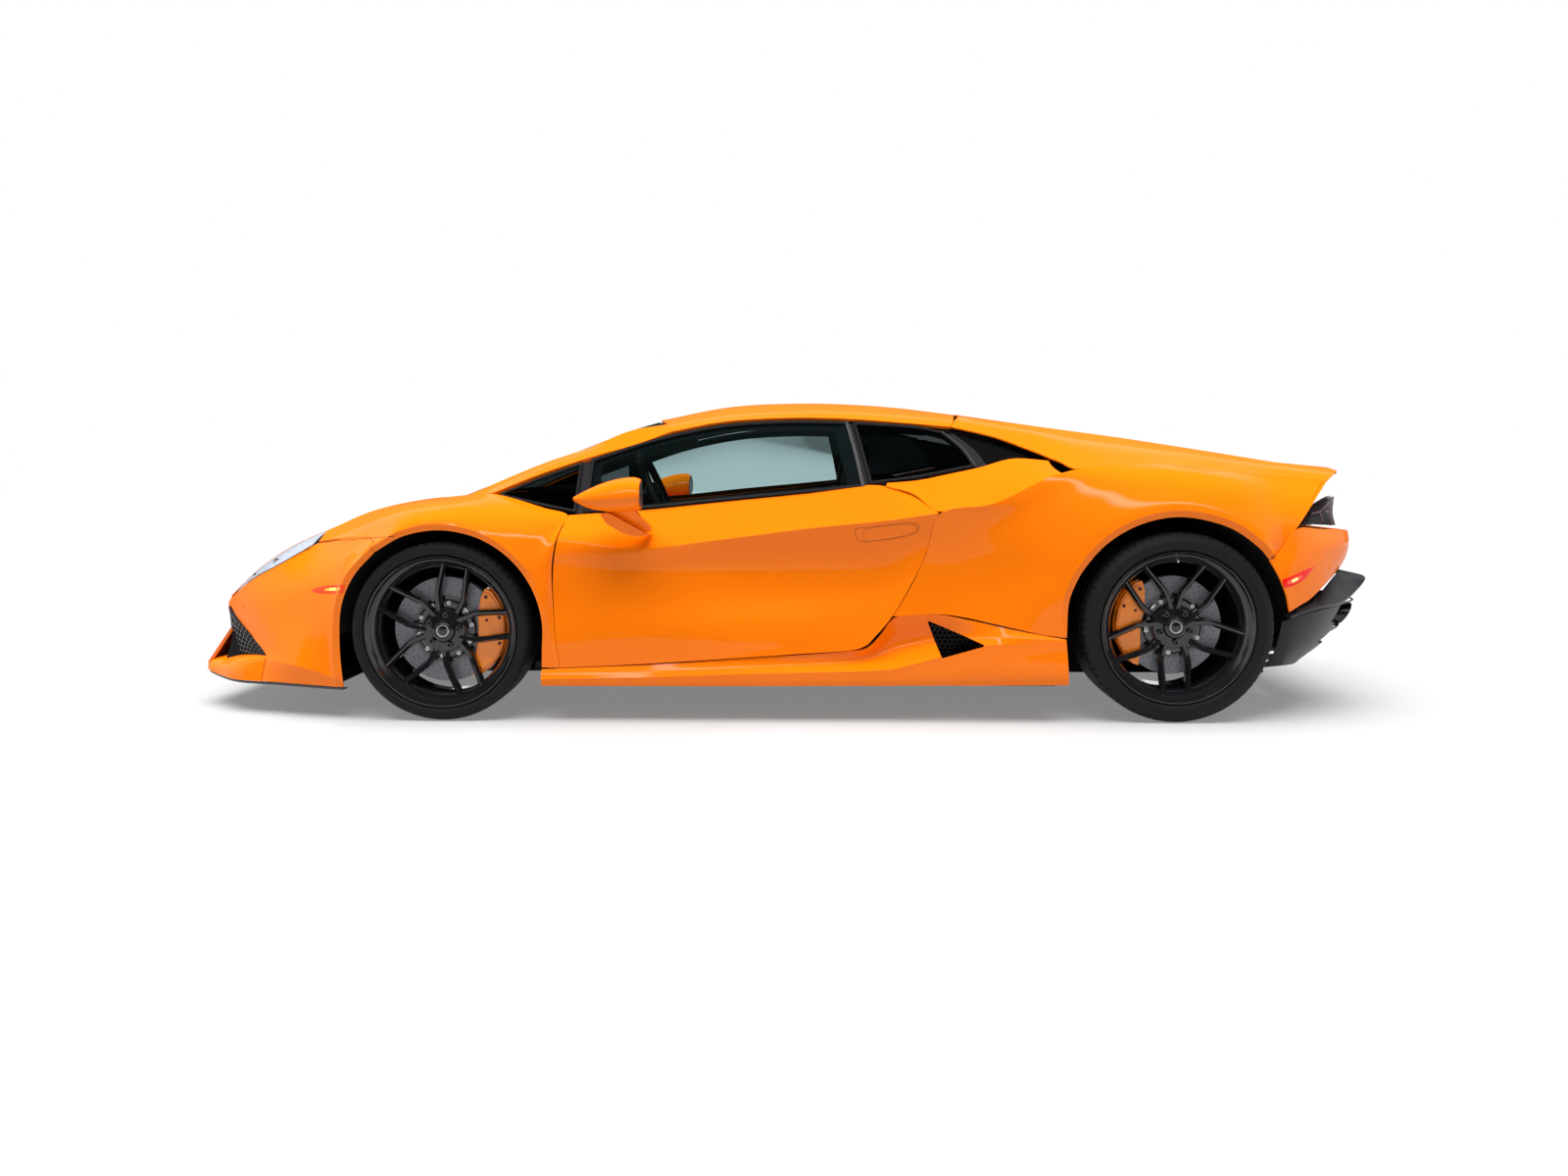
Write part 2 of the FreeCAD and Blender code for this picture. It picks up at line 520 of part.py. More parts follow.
add("tail_spoiler", skin(grid(SPOF, 9, 17, (4, 0, 2, 2)), 20.0, toward=V(AX_F + 2400, 0, 300)))

BUMP_R = [
    [P(3015, -925, 396), P(2996, -936, 460), P(2962, -944, 530), P(2940, -948, 577)],
    [P(3060, -895, 415), P(3045, -910, 480), P(3010, -925, 560), P(2975, -922, 600)],
    [P(3105, -868, 434), P(3100, -876, 510), P(3085, -885, 600), P(3048, -884, 686)],
    [P(3190, -795, 486), P(3192, -800, 560), P(3190, -800, 630), P(3165, -796, 684)],
    [P(3270, -680, 518), P(3295, -680, 570), P(3305, -680, 625), P(3295, -678, 674)],
    [P(3350, -500, 520), P(3372, -500, 570), P(3380, -500, 625), P(3374, -500, 668)],
    [P(3385, -250, 521), P(3402, -250, 570), P(3410, -250, 625), P(3402, -250, 665)],
    [P(3395, 0, 522), P(3412, 0, 570), P(3418, 0, 625), P(3408, 0, 664)],
]
BRF = BUMP_R + [[V(p.x, -p.y, p.z) for p in c] for c in reversed(BUMP_R[:-1])]
add("rear_bumper", skin(grid(BRF, 41, 9, (0, 0, 0, 0)), 12.0, toward=V(AX_R + 200, 0, 500)))

TAILP = [
    [P(3058, -862, 700), P(3100, -800, 770), P(3146, -722, 826)],
    [P(3150, -752, 692), P(3156, -730, 776), P(3168, -680, 846)],
    [P(3222, -600, 684), P(3218, -590, 780), P(3212, -570, 866)],
    [P(3290, -300, 678), P(3285, -300, 780), P(3280, -300, 874)],
    [P(3305, 0, 676), P(3300, 0, 780), P(3292, 0, 876)],
]
TPF = TAILP + [[V(p.x, -p.y, p.z) for p in c] for c in reversed(TAILP[:-1])]
tg = skin(grid(TPF, 33, 7, (10, 10, 8, 14)), 8.0, toward=V(AX_R + 200, 0, 700), off=22.0)
FG = [
    [P(-958, -130, 165), P(-958, -130, 322)],
    [P(-925, -560, 180), P(-930, -560, 345)],
    [P(-700, -765, 200), P(-720, -745, 265)],
]
fg = skin(grid(FG, 13, 5), 10.0, toward=V(AX_F, 0, 250), off=4.0)
SI = [
    [P(1725, -856, 225), P(1725, -856, 372)],
    [P(1950, -856, 225), P(1950, -856, 372)],
]
si = skin(grid(SI, 5, 4), 8.0, toward=V(AX_F + 1800, 0, 300))
add("grilles", Part.Compound([tg, qi, mir(qi), fg, mir(fg), si, mir(si)]))
TL = [
    [P(3100, -836, 702), P(3112, -818, 736), P(3125, -802, 768)],
    [P(3170, -752, 696), P(3184, -748, 742), P(3204, -748, 792)],
    [P(3232, -640, 690), P(3232, -640, 736), P(3252, -672, 800)],
]
both("tail_lights", skin(grid(TL, 11, 5, (0, 0, 2, 2)), 9.0, toward=V(AX_R + 200, 0, 700)))

# ---------------------------------------------------------------- diffuser and exhaust
LEDGE = [
    [P(3018, -890, 392), P(3029, -910, 383)],
    [P(3130, -812, 418), P(3143, -852, 408)],
    [P(3224, -704, 468), P(3240, -776, 413)],
    [P(3278, -640, 500), P(3302, -702, 420)],
    [P(3314, -596, 517), P(3385, -606, 452)],
    [P(3338, -530, 514), P(3441, -536, 486)],
    [P(3392, -260, 512), P(3444, -260, 492)],
    [P(3400, 0, 512), P(3444, 0, 492)],
]


def mirrored(cols):
    return cols + [[V(p.x, -p.y, p.z) for p in c] for c in reversed(cols[:-1])]


lt = grid(mirrored(LEDGE), 45, 4)
lb = [[p + V(-9, 0, -15) for p in r] for r in lt]
ledge = solid_between(lt, lb)
DIFF = [
    [P(3008, -872, 196), P(3020, -880, 258), P(3026, -882, 318), P(3028, -884, 366)],
    [P(3085, -788, 190), P(3115, -820, 262), P(3130, -833, 332), P(3135, -840, 390)],
    [P(3140, -680, 184), P(3208, -716, 260), P(3232, -740, 334), P(3238, -756, 396)],
    [P(3178, -596, 180), P(3268, -628, 266), P(3306, -646, 342), P(3312, -664, 402)],
    [P(3208, -500, 170), P(3326, -500, 266), P(3386, -500, 342), P(3414, -500, 402)],
    [P(3214, -250, 166), P(3332, -250, 266), P(3392, -250, 342), P(3420, -250, 402)],
    [P(3214, 0, 166), P(3332, 0, 266), P(3392, 0, 342), P(3420, 0, 402)],
]
DF = DIFF + [[V(p.x, -p.y, p.z) for p in c] for c in reversed(DIFF[:-1])]
diff = [ledge, skin(grid(DF, 33, 9, (0, 0, 0, 4)), 8.0, toward=V(AX_R + 200, 0, 400), off=2.0)]
rear_open = [[(-735, 338), (-700, 398), (-380, 398), (-380, 306), (-640, 306)], [(-745, 264), (-690, 298), (-400, 296), (-400, 232), (-620, 246)]]
for poly in rear_open:
    for m in (1, -1):
        pts = [P(3120, m * q[0], q[1]) for q in poly]
        diff[1] = diff[1].cut(Part.Face(Part.makePolygon(pts + pts[:1])).extrude(V(400, 0, 0)))
fins = []
for y in (-330, -110, 110, 330):
    fins.append(prism_y([(3040, 136), (3262, 142), (3334, 200), (3376, 258), (3306, 258), (3200, 162), (3040, 160)], y - 4, y + 4))
add("rear_diffuser", Part.Compound(diff + fins))
ex = []
for y in (-530.0, -432.0):
    ax = V(1, 0, 0.08)
    t = Part.makeCylinder(38, 150, P(3262, y, 341), ax).cut(Part.makeCylinder(34, 160, P(3276, y, 342.1), ax))
    t = t.cut(prism_y([(3350, 290), (3450, 290), (3450, 410), (3396, 410)], y - 60, y + 60))
    ex.append(t)
add("exhaust", Part.Compound(ex + [mir(e) for e in ex]))

# ---------------------------------------------------------------- tub, floor, bulkheads
tub = [box(260, 1560, -560, 560, 132, 160), box(345, 1560, -700, 700, 132, 160)]
for s in (-1, 1):
    y0, y1 = (640, 790) if s > 0 else (-790, -640)
    tub.append(box(430, 1600, y0, y1, 132, 330))
    a, b = (560, 784) if s > 0 else (-784, -560)
    tub.append(box(1600, 1700, a, b, 132, 700))
tub.append(box(385, 425, -800, 800, 132, 560))
tub.append(box(250, 420, -420, 420, 132, 560))
tub.append(box(1560, 1610, -784, 784, 132, 760))
tubs = fuse(tub)
add("chassis_tub", tubs)
subframes = [fuse([box(-860, 250, -400, -340, 250, 400), box(-860, 250, 340, 400, 250, 400),
                   box(-880, -820, -560, 560, 240, 410), box(-220, 250, -400, 400, 150, 250)]),
             fuse([box(1700, 3200, -420, -360, 372, 470), box(1700, 3200, 360, 420, 372, 470),
                   box(3150, 3230, -540, 540, 372, 500), box(1700, 1760, -560, 560, 372, 470),
                   box(2400, 2450, -420, -360, 180, 372), box(2790, 2840, -420, -360, 180, 372), box(2400, 2840, -420, -360, 180, 240),
                   box(2400, 2450, 360, 420, 180, 372), box(2790, 2840, 360, 420, 180, 372), box(2400, 2840, 360, 420, 180, 240)])]
add("subframes", Part.Compound(subframes))
add("underbody", fuse([box(-880, -380, -620, 620, 122, 130), box(-380, 380, -560, 560, 122, 130), box(380, 2200, -880, 880, 122, 130),
                       box(2200, 3040, -560, 560, 122, 130)]))
add("engine_block", fuse([box(1780, 2500, -320, 320, 190, 800), box(2500, 3050, -220, 220, 200, 480)]))

# ---------------------------------------------------------------- cabin
dash = prism_y([(180, 600), (140, 770), (300, 830), (560, 790), (600, 720), (560, 600), (430, 565)], -690, 690)
console = prism_y([(430, 164), (430, 600), (560, 620), (800, 410), (1400, 390), (1500, 164)], -120, 120)


def seat(y):
    a = prism_y([(900, 190), (880, 330), (1290, 300), (1330, 190)], y - 235, y + 235)
    b = prism_y([(1290, 250), (1240, 300), (1440, 880), (1500, 1000), (1545, 990), (1540, 800), (1420, 250)], y - 225, y + 225)
    return a.fuse(b)


add("seats", Part.Compound([seat(-375), seat(375)]))
sw_c = P(720, -375, 800)
sw_ax = V(-0.92, 0, -0.39)
sw_ax.normalize()
rim = Part.makeTorus(172, 15, sw_c, sw_ax)
hub = Part.makeCylinder(45, 60, sw_c - sw_ax * 20, sw_ax)
perp = V(0, 1, 0)
up = sw_ax.cross(perp)
sp = [bar(sw_c + perp * 30, sw_c + perp * 168, 9), bar(sw_c - perp * 30, sw_c - perp * 168, 9), bar(sw_c + up * 30, sw_c + up * 168, 9)]
add("steering_wheel", fuse([rim, hub] + sp))
column = bar(sw_c + sw_ax * 46, sw_c + sw_ax * 230, 26)
add("dashboard", fuse([dash, console, column]))

# ---------------------------------------------------------------- wheels
def tyre(x, y, z, r, w, s):
    h = w / 2.0
    half = [V(0, h - 30, RIM_BEAD_R + 0.5), V(0, h - 21.5, RIM_BEAD_R + 0.5), V(0, h - 17.5, RIM_R + 2), V(0, h - 4, RIM_R + 9), V(0, h, RIM_R + 20),
            V(0, h - 6, r - 22), V(0, h - 22, r - 4), V(0, h - 40, r)]
    core = [V(0, h - 44, r - 14), V(0, h - 24, r - 28), V(0, h - 26, RIM_R + 12)]
    pts = half + [V(0, -p.y, p.z) for p in reversed(half)] + [V(0, -p.y, p.z) for p in reversed(core)] + core
    w_ = Part.makePolygon(pts + [pts[0]])
    t = Part.Face(w_).revolve(V(0, 0, 0), V(0, 1, 0), 360)
    t.translate(V(x, y, z))
    return t


def rim_part(x, y, z, w, s, off):
    """s is -1 on the left, outer face toward s*y."""
    h = w / 2.0 - 8
    b = RIM_BEAD_R - 1.0
    pts = [V(0, -h, RIM_R), V(0, -h + 9, RIM_R), V(0, -h + 12, b), V(0, h - 12, b), V(0, h - 9, RIM_R), V(0, h, RIM_R),
           V(0, h - 4, b - 8), V(0, h - 16, b - 10), V(0, h - 40, b - 26), V(0, -h + 50, b - 26), V(0, -h + 16, b - 10), V(0, -h + 4, b - 8)]
    barrel = Part.Face(Part.makePolygon(pts + [pts[0]])).revolve(V(0, 0, 0), V(0, 1, 0), 360)
    face = -h + 26
    parts = [barrel]
    hubd = Part.makeCylinder(82, 46, V(0, face + 6, 0), V(0, 1, 0))
    parts.append(hubd)
    base = 6.0 if off == "F" else 56.0
    for k in range(5):
        for d in (-9.5, 9.5):
            a = math.radians(base + 72 * k + d)
            a0 = math.radians(base + 72 * k + d * 2.8)
            p0 = V(48 * math.cos(a0), face + 26, 48 * math.sin(a0))
            a1 = math.radians(base + 72 * k + d * 2.25)
            p1 = V(134 * math.cos(a1), face + 22, 134 * math.sin(a1))
            p2 = V(240 * math.cos(a), face + 6, 240 * math.sin(a))
            for q0, q1, ww in ((p0, p1, 15), (p1, p2, 13)):
                dd = q1 - q0
                L = dd.Length
                bx = Part.makeBox(L + 8, 26, 2 * ww, V(-4, -6, -ww))
                ang = math.degrees(math.atan2(dd.z, dd.x))
                bx.rotate(V(0, 0, 0), V(0, 1, 0), -ang)
                bx.translate(q0)
                parts.append(bx)
    s0 = parts[0]
    for o in parts[1:]:
        s0 = s0.fuse(o)
    for k in range(5):
        a = math.radians(base + 72 * k)
        s0 = s0.cut(Part.makeCylinder(BOLT_R, 80, V(BOLT_PCD / 2 * math.cos(a), face - 4, BOLT_PCD / 2 * math.sin(a)), V(0, 1, 0)))
    s0 = s0.cut(Part.makeCylinder(28.5, 80, V(0, face + 20, 0), V(0, 1, 0)))
    s0 = s0.removeSplitter()
    if s > 0:
        s0 = s0.mirror(V(0, 0, 0), V(0, 1, 0))
    s0.translate(V(x, y, z))
    return s0


def disc(x, y, z, r, t, ri, face, base, s):
    """Friction ring centred on y, bell up to the hub face of the rim, hub stub inward. Drawn for the left, mirrored for the right."""
    ring = cyl(0, -t / 2.0, t / 2.0, 0, r).cut(cyl(0, -t, t, 0, ri))
    bell = cyl(0, face, t / 2.0, 0, ri + 4).cut(cyl(0, face + 8, t, 0, ri - 6))
    stub = cyl(0, face - 10, 54, 0, 27.5).fuse(cyl(0, face, 54, 0, 44))
    d = ring.fuse(bell).fuse(stub)
    for k in range(5):
        a = math.radians(base + 72 * k)
        d = d.cut(Part.makeCylinder(BOLT_R, 120, V(BOLT_PCD / 2 * math.cos(a), face - 30, BOLT_PCD / 2 * math.sin(a)), V(0, 1, 0)))
    d = d.removeSplitter()
    if s > 0:
        d = d.mirror(V(0, 0, 0), V(0, 1, 0))
    d.translate(V(x, s * y, z))
    return d


DISC_Y = 832.0
HUB_FACE_F = (TRACK_F / 2.0 - 2) + (TYRE_W_F / 2.0 - 8) - 26 - 6 - 46
HUB_FACE_R = (TRACK_R / 2.0 - 4) + (TYRE_W_R / 2.0 - 8) - 26 - 6 - 46
YF = TRACK_F / 2.0
YR = TRACK_R / 2.0
for side, s in (("left", -1), ("right", 1)):
    add("tyre_front_" + side, tyre(AX_F, s * (YF - 2), HUB_Z_F, TYRE_R_F, TYRE_W_F, s))
    add("tyre_rear_" + side, tyre(AX_R, s * (YR - 4), HUB_Z_R, TYRE_R_R, TYRE_W_R, s))
    add("rim_front_" + side, rim_part(AX_F, s * (YF - 2), HUB_Z_F, TYRE_W_F, s, "F"))
    add("rim_rear_" + side, rim_part(AX_R, s * (YR - 4), HUB_Z_R, TYRE_W_R, s, "R"))
    add("disc_front_" + side, disc(AX_F, DISC_Y, HUB_Z_F, DISC_R_F, DISC_T_F, 112.0, DISC_Y - HUB_FACE_F + 0.5, 6.0, s))
    add("disc_rear_" + side, disc(AX_R, DISC_Y, HUB_Z_R, DISC_R_R, DISC_T_R, 108.0, DISC_Y - HUB_FACE_R + 0.5, 56.0, s))

# ---------------------------------------------------------------- knuckles, calipers, arms
def caliper(x, yc, z, rd, t, a0, a1, s):
    ri, ro = rd - 60, rd + 22
    h = 35.5
    ring = cyl(x, yc - h, yc + h, z, ro).cut(cyl(x, yc - h - 1, yc + h + 1, z, ri))
    slot = cyl(x, yc - t / 2.0 - 6, yc + t / 2.0 + 6, z, rd + 6)
    ring = ring.cut(slot)
    am = math.radians((a0 + a1) / 2.0)
    hw = math.radians((a1 - a0) / 2.0)
    R = 900.0
    pts = [V(x, yc - 200, z), V(x + R * math.cos(am - hw), yc - 200, z + R * math.sin(am - hw)),
           V(x + R * math.cos(am + hw), yc - 200, z + R * math.sin(am + hw))]
    wed = Part.Face(Part.makePolygon(pts + [pts[0]])).extrude(V(0, 400, 0))
    return ring.common(wed)


def upright(x, z, hz, d, r, s):
    """Bearing housing, post and caliper bracket. d is +1 when the caliper sits behind the axle, -1 in front."""
    def slab(x0, x1, ya, yb, z0, z1):
        return Part.makeBox(x1 - x0, yb - ya, z1 - z0, V(x0, ya, z0))
    k = [cyl(0, -772, -728, 0, 70), slab(-30, 30, -772, -728, -hz, hz),
         slab(min(0, d * r), max(0, d * r), -772, -732, -30, 30),
         slab(min(d * 128, d * r), max(d * 128, d * r), -796.5, -760, -30, 30)]
    k = fuse(k).cut(cyl(0, -800, -700, 0, 26))
    if s > 0:
        k = k.mirror(V(0, 0, 0), V(0, 1, 0))
    k.translate(V(x, 0, z))
    return k


RK, RC = [], []
for side, s in (("left", -1), ("right", 1)):
    cal = caliper(AX_F, s * DISC_Y, HUB_Z_F, DISC_R_F, DISC_T_F, -30, 34, s)
    add("knuckle_front_" + side, fuse([upright(AX_F, HUB_Z_F, 150, 1, 205, s), cal]))
    RK.append(upright(AX_R, HUB_Z_R, 160, -1, 195, s))
    RC.append(caliper(AX_R, s * DISC_Y, HUB_Z_R, DISC_R_R, DISC_T_R, 140, 205, s))


def arms(x, yi, yo, z, dx, zl, zh):
    out = []
    for zz in (zl, zh):
        out.append(bar(V(x - dx, yi, zz), V(x, yo, zz), 12).fuse(bar(V(x + dx, yi, zz), V(x, yo, zz), 12)))
    return out


fa = []
for s in (-1, 1):
    fa += arms(AX_F, s * 412, s * 700, HUB_Z_F, 170, 215, 388)
add("front_suspension", Part.Compound(fa))
ra = []
for s in (-1, 1):
    ra += arms(AX_R, s * 432, s * 700, HUB_Z_R, 170, 215, 430)
    ra.append(bar(V(AX_R, s * 326, HUB_Z_R), V(AX_R, s * 772, HUB_Z_R), 18))
add("rear_suspension", Part.Compound(ra + RK))
add("rear_calipers", Part.Compound(RC))

for n, sh in NODES.items():
    sh.exportStep("parts/" + n + ".step")
    bad = [i for i, so in enumerate(sh.Solids) if not so.isValid() or so.Volume <= 0]
    bb = sh.BoundBox
    print("%-24s solids %d faces %d vol %.4f m3 bbox x %.0f..%.0f y %.0f..%.0f z %.0f..%.0f %s" % (
        n, len(sh.Solids), len(sh.Faces), sh.Volume / 1e9, bb.XMin, bb.XMax, bb.YMin, bb.YMax, bb.ZMin, bb.ZMax, "BAD %s" % bad if bad else ""))
print(len(NODES), "nodes")
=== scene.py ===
import bpy, bmesh, math
import numpy as np
from mathutils import Vector, Matrix
from mathutils.bvhtree import BVHTree

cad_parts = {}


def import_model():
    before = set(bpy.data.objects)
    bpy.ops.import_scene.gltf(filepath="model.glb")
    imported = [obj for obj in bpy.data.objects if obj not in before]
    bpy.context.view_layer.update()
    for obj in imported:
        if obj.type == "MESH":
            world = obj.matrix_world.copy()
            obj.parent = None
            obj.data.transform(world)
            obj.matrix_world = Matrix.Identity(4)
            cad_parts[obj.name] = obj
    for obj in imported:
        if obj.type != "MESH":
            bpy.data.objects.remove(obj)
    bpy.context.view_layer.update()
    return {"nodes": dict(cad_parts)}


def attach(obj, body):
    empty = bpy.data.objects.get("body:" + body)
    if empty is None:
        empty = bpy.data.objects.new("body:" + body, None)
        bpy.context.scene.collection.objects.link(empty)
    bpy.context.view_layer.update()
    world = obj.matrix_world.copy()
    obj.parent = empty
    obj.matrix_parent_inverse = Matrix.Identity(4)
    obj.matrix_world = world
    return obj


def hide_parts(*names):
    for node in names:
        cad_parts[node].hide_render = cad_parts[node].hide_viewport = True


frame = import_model()

AXF, AXR = -1.2145, 1.4055
MM = 1e-3


# ---------------------------------------------------------------- points and curves
def P(x, y, z):
    return (x * MM + AXF, y * MM, z * MM)


def AF(deg, y=-950.0, r=366.0):
    a = math.radians(deg)
    return P(r * math.cos(a), y, 318 + r * math.sin(a))


def AR(deg, y=-960.0, r=400.0):
    a = math.radians(deg)
    return P(2620 + r * math.cos(a), y, 332 + r * math.sin(a))


def places(cum, n, cuts):
    m = len(cum)
    ends = [0] + sorted(cuts) + [m - 1]
    s = []
    for a, b in zip(ends[:-1], ends[1:]):
        L = cum[b] - cum[a]
        k = max(2, int(round(n * L / cum[-1])))
        s += list(np.linspace(cum[a], cum[b], k + 1))
        if a != 0 and L > 0.03:
            s.append(cum[a] + 0.005)
        if b != m - 1 and L > 0.03:
            s.append(cum[b] - 0.005)
    s = np.unique(np.round(s, 7))
    seg = np.clip(np.searchsorted(cum, s, side="right") - 1, 0, m - 2)
    f = np.clip((s - cum[seg]) / np.maximum(cum[seg + 1] - cum[seg], 1e-9), 0, 1)
    return seg, f


def along(A, seg, f, cuts=()):
    m = len(A)
    f = f[:, None, None]
    if m == 2:
        return A[0] + (A[1] - A[0]) * f
    brk = np.zeros(m + 1, bool)
    brk[[0, m - 1] + list(cuts)] = True
    P1, P2 = A[seg], A[seg + 1]
    P0 = np.where(brk[seg][:, None, None], 2 * P1 - P2, A[np.maximum(seg - 1, 0)])
    P3 = np.where(brk[seg + 1][:, None, None], 2 * P2 - P1, A[np.minimum(seg + 2, m - 1)])

    def dist(a, b):
        return np.sqrt(np.maximum(np.linalg.norm(b - a, axis=2, keepdims=True), 1e-6))

    t1 = dist(P0, P1)
    t2 = t1 + dist(P1, P2)
    t3 = t2 + dist(P2, P3)
    u = t1 + f * (t2 - t1)
    a1 = P0 * ((t1 - u) / t1) + P1 * (u / t1)
    a2 = P1 * ((t2 - u) / (t2 - t1)) + P2 * ((u - t1) / (t2 - t1))
    a3 = P2 * ((t3 - u) / (t3 - t2)) + P3 * ((u - t2) / (t3 - t2))
    b1 = a1 * ((t2 - u) / t2) + a2 * (u / t2)
    b2 = a2 * ((t3 - u) / (t3 - t1)) + a3 * ((u - t1) / (t3 - t1))
    return b1 * ((t2 - u) / (t2 - t1)) + b2 * ((u - t1) / (t2 - t1))


def cumlen(A):
    d = np.linalg.norm(A[1:] - A[:-1], axis=2).mean(axis=1)
    return np.concatenate([[0], np.cumsum(d)])


def both_ways(tab, how):
    A = np.array(tab, float)
    fl = np.array([1, -1, 1])
    if how == "v":
        return np.concatenate([A, (A * fl)[:, :-1][:, ::-1]], axis=1)
    if how == "u":
        return np.concatenate([A, (A * fl)[:-1][::-1]], axis=0)
    return A


def surf(tab, nu, nv, gaps=(0, 0, 0, 0), ub=(), vb=(), full="", soft=None):
    """Grid through a table of columns. gaps in mm: first column, last column, row start, row end."""
    A = both_ways(tab, full)

    def make(ub_, vb_, ps):
        B = A.transpose(1, 0, 2)
        B = along(B, ps[0][0], ps[0][1], vb_)
        C = along(B.transpose(1, 0, 2), ps[1][0], ps[1][1], ub_)
        return C

    sv = places(cumlen(A.transpose(1, 0, 2)), nv, vb)
    su = places(cumlen(A), nu, ub)
    G = make(ub, vb, (sv, su))
    if soft is not None:
        S = make((), (), (sv, su))
        w = np.interp(np.linspace(0, 1, len(G)), soft[0], soft[1])[:, None, None]
        G = S + (G - S) * w
    return nip(G, gaps)


def nip(G, gaps):
    G = G.copy()

    def pull(a, b, g):
        d = b - a
        L = np.linalg.norm(d, axis=-1, keepdims=True)
        return a + d * np.minimum(g * MM / np.maximum(L, 1e-9), 0.7)

    if gaps[0]:
        G[0] = pull(G[0], G[1], gaps[0])
    if gaps[1]:
        G[-1] = pull(G[-1], G[-2], gaps[1])
    if gaps[2]:
        G[:, 0] = pull(G[:, 0], G[:, 1], gaps[2])
    if gaps[3]:
        G[:, -1] = pull(G[:, -1], G[:, -2], gaps[3])
    return G


def line(pts, n=40, cuts=()):
    A = np.array(pts, float)[:, None, :]
    s = places(cumlen(A), n, cuts)
    return along(A, s[0], s[1], cuts)[:, 0]


def samp(G, u, v):
    nu, nv = G.shape[:2]
    a, b = np.clip(u, 0, 1) * (nu - 1), np.clip(v, 0, 1) * (nv - 1)
    i, j = np.minimum(a.astype(int), nu - 2), np.minimum(b.astype(int), nv - 2)
    fa, fb = (a - i)[..., None], (b - j)[..., None]
    return (G[i, j] * (1 - fa) * (1 - fb) + G[i + 1, j] * fa * (1 - fb) + G[i, j + 1] * (1 - fa) * fb + G[i + 1, j + 1] * fa * fb)


# ---------------------------------------------------------------- solids as (points, faces, material index)
def quads(nu, nv, flip, base=0):
    i, j = np.meshgrid(np.arange(nu - 1), np.arange(nv - 1), indexing="ij")
    a = (i * nv + j).ravel() + base
    q = np.stack([a, a + nv, a + nv + 1, a + 1], 1)
    return q[:, ::-1] if flip else q


def norms(G):
    N = np.cross(np.gradient(G, axis=0), np.gradient(G, axis=1))
    return N / np.maximum(np.linalg.norm(N, axis=2, keepdims=True), 1e-12)


def side_of(G, toward):
    N = norms(G)
    i, j = G.shape[0] // 2, G.shape[1] // 2
    return N, (1.0 if np.dot(N[i, j], np.array(toward) - G[i, j]) > 0 else -1.0)


def between(A, B, flip, m=0, mi=None):
    nu, nv = A.shape[:2]
    n = nu * nv
    V = np.concatenate([A.reshape(-1, 3), B.reshape(-1, 3)])
    fo = quads(nu, nv, flip)
    fi = quads(nu, nv, not flip, n)
    ring = [i * nv for i in range(nu)] + [(nu - 1) * nv + j for j in range(1, nv)] + [i * nv + nv - 1 for i in range(nu - 2, -1, -1)] + list(range(nv - 2, 0, -1))
    w = []
    for a, b in zip(ring, ring[1:] + ring[:1]):
        w.append((a, a + n, b + n, b) if flip else (b, b + n, a + n, a))
    w = np.array(w)
    if flip:
        w = w[:, ::-1]
    else:
        w = w[:, ::-1]
    parts = [(V, np.concatenate([fo, w]), m), (V, fi, m if mi is None else mi)]
    F = np.concatenate([fo, w, fi])
    M = [m] * (len(fo) + len(w)) + [m if mi is None else mi] * len(fi)
    return (V, F, M)


def shell(G, t, toward=(0, 0, 0.45), off=0.0, m=0, mi=None):
    """Closed skin: outer face on G moved by off, inner face t mm deeper toward the given point."""
    N, sg = side_of(G, toward)
    A = G + N * (sg * off * MM)
    B = G + N * (sg * (off + t) * MM)
    return between(A, B, sg > 0, m, mi)


def mirp(p):
    V, F, M = p
    return (np.asarray(V) * np.array([1, -1, 1]), [tuple(f)[::-1] for f in F], M)


def mboth(ps):
    return list(ps) + [mirp(p) for p in ps]


def moved(p, d):
    return (np.asarray(p[0]) + np.array(d), p[1], p[2])


def turned(p, M3, d=(0, 0, 0)):
    return (np.asarray(p[0]) @ np.array(M3).T + np.array(d), p[1], p[2])


def box(x0, x1, y0, y1, z0, z1, m=0):
    V = [(x, y, z) for x in (x0, x1) for y in (y0, y1) for z in (z0, z1)]
    F = [(0, 1, 3, 2), (4, 6, 7, 5), (0, 4, 5, 1), (2, 3, 7, 6), (0, 2, 6, 4), (1, 5, 7, 3)]
    return (np.array(V, float), F, [m] * 6)


def pbox(x0, x1, y0, y1, z0, z1, m=0):
    return box(x0 * MM + AXF, x1 * MM + AXF, y0 * MM, y1 * MM, z0 * MM, z1 * MM, m)


def loft(secs, m=0, closed=False, caps=True):
    """secs: list of loops with the same number of points."""
    S = np.array(secs, float)
    k, n = S.shape[:2]
    V = S.reshape(-1, 3)
    F = []
    for i in range(k if closed else k - 1):
        a, b = i * n, ((i + 1) % k) * n
        for j in range(n):
            j2 = (j + 1) % n
            F.append((a + j, a + j2, b + j2, b + j))
    if caps and not closed:
        F.append(tuple(range(n))[::-1])
        F.append(tuple((k - 1) * n + j for j in range(n)))
    c0 = S[0].mean(0)
    c1 = S[-1].mean(0)
    if not closed:
        f = F[0]
        nrm = np.cross(V[f[1]] - V[f[0]], V[f[2]] - V[f[0]])
        if np.dot(nrm, V[list(f)].mean(0) - (c0 if k < 3 else S[:2].mean((0, 1)))) < 0:
            F = [q[::-1] for q in F]
    return (V, F, [m] * len(F))


def prism(poly, y0, y1, m=0):
    """poly of (x, z) in mm from the front axle, between two y in mm."""
    return loft([[P(x, y0, z) for x, z in poly], [P(x, y1, z) for x, z in poly]], m)


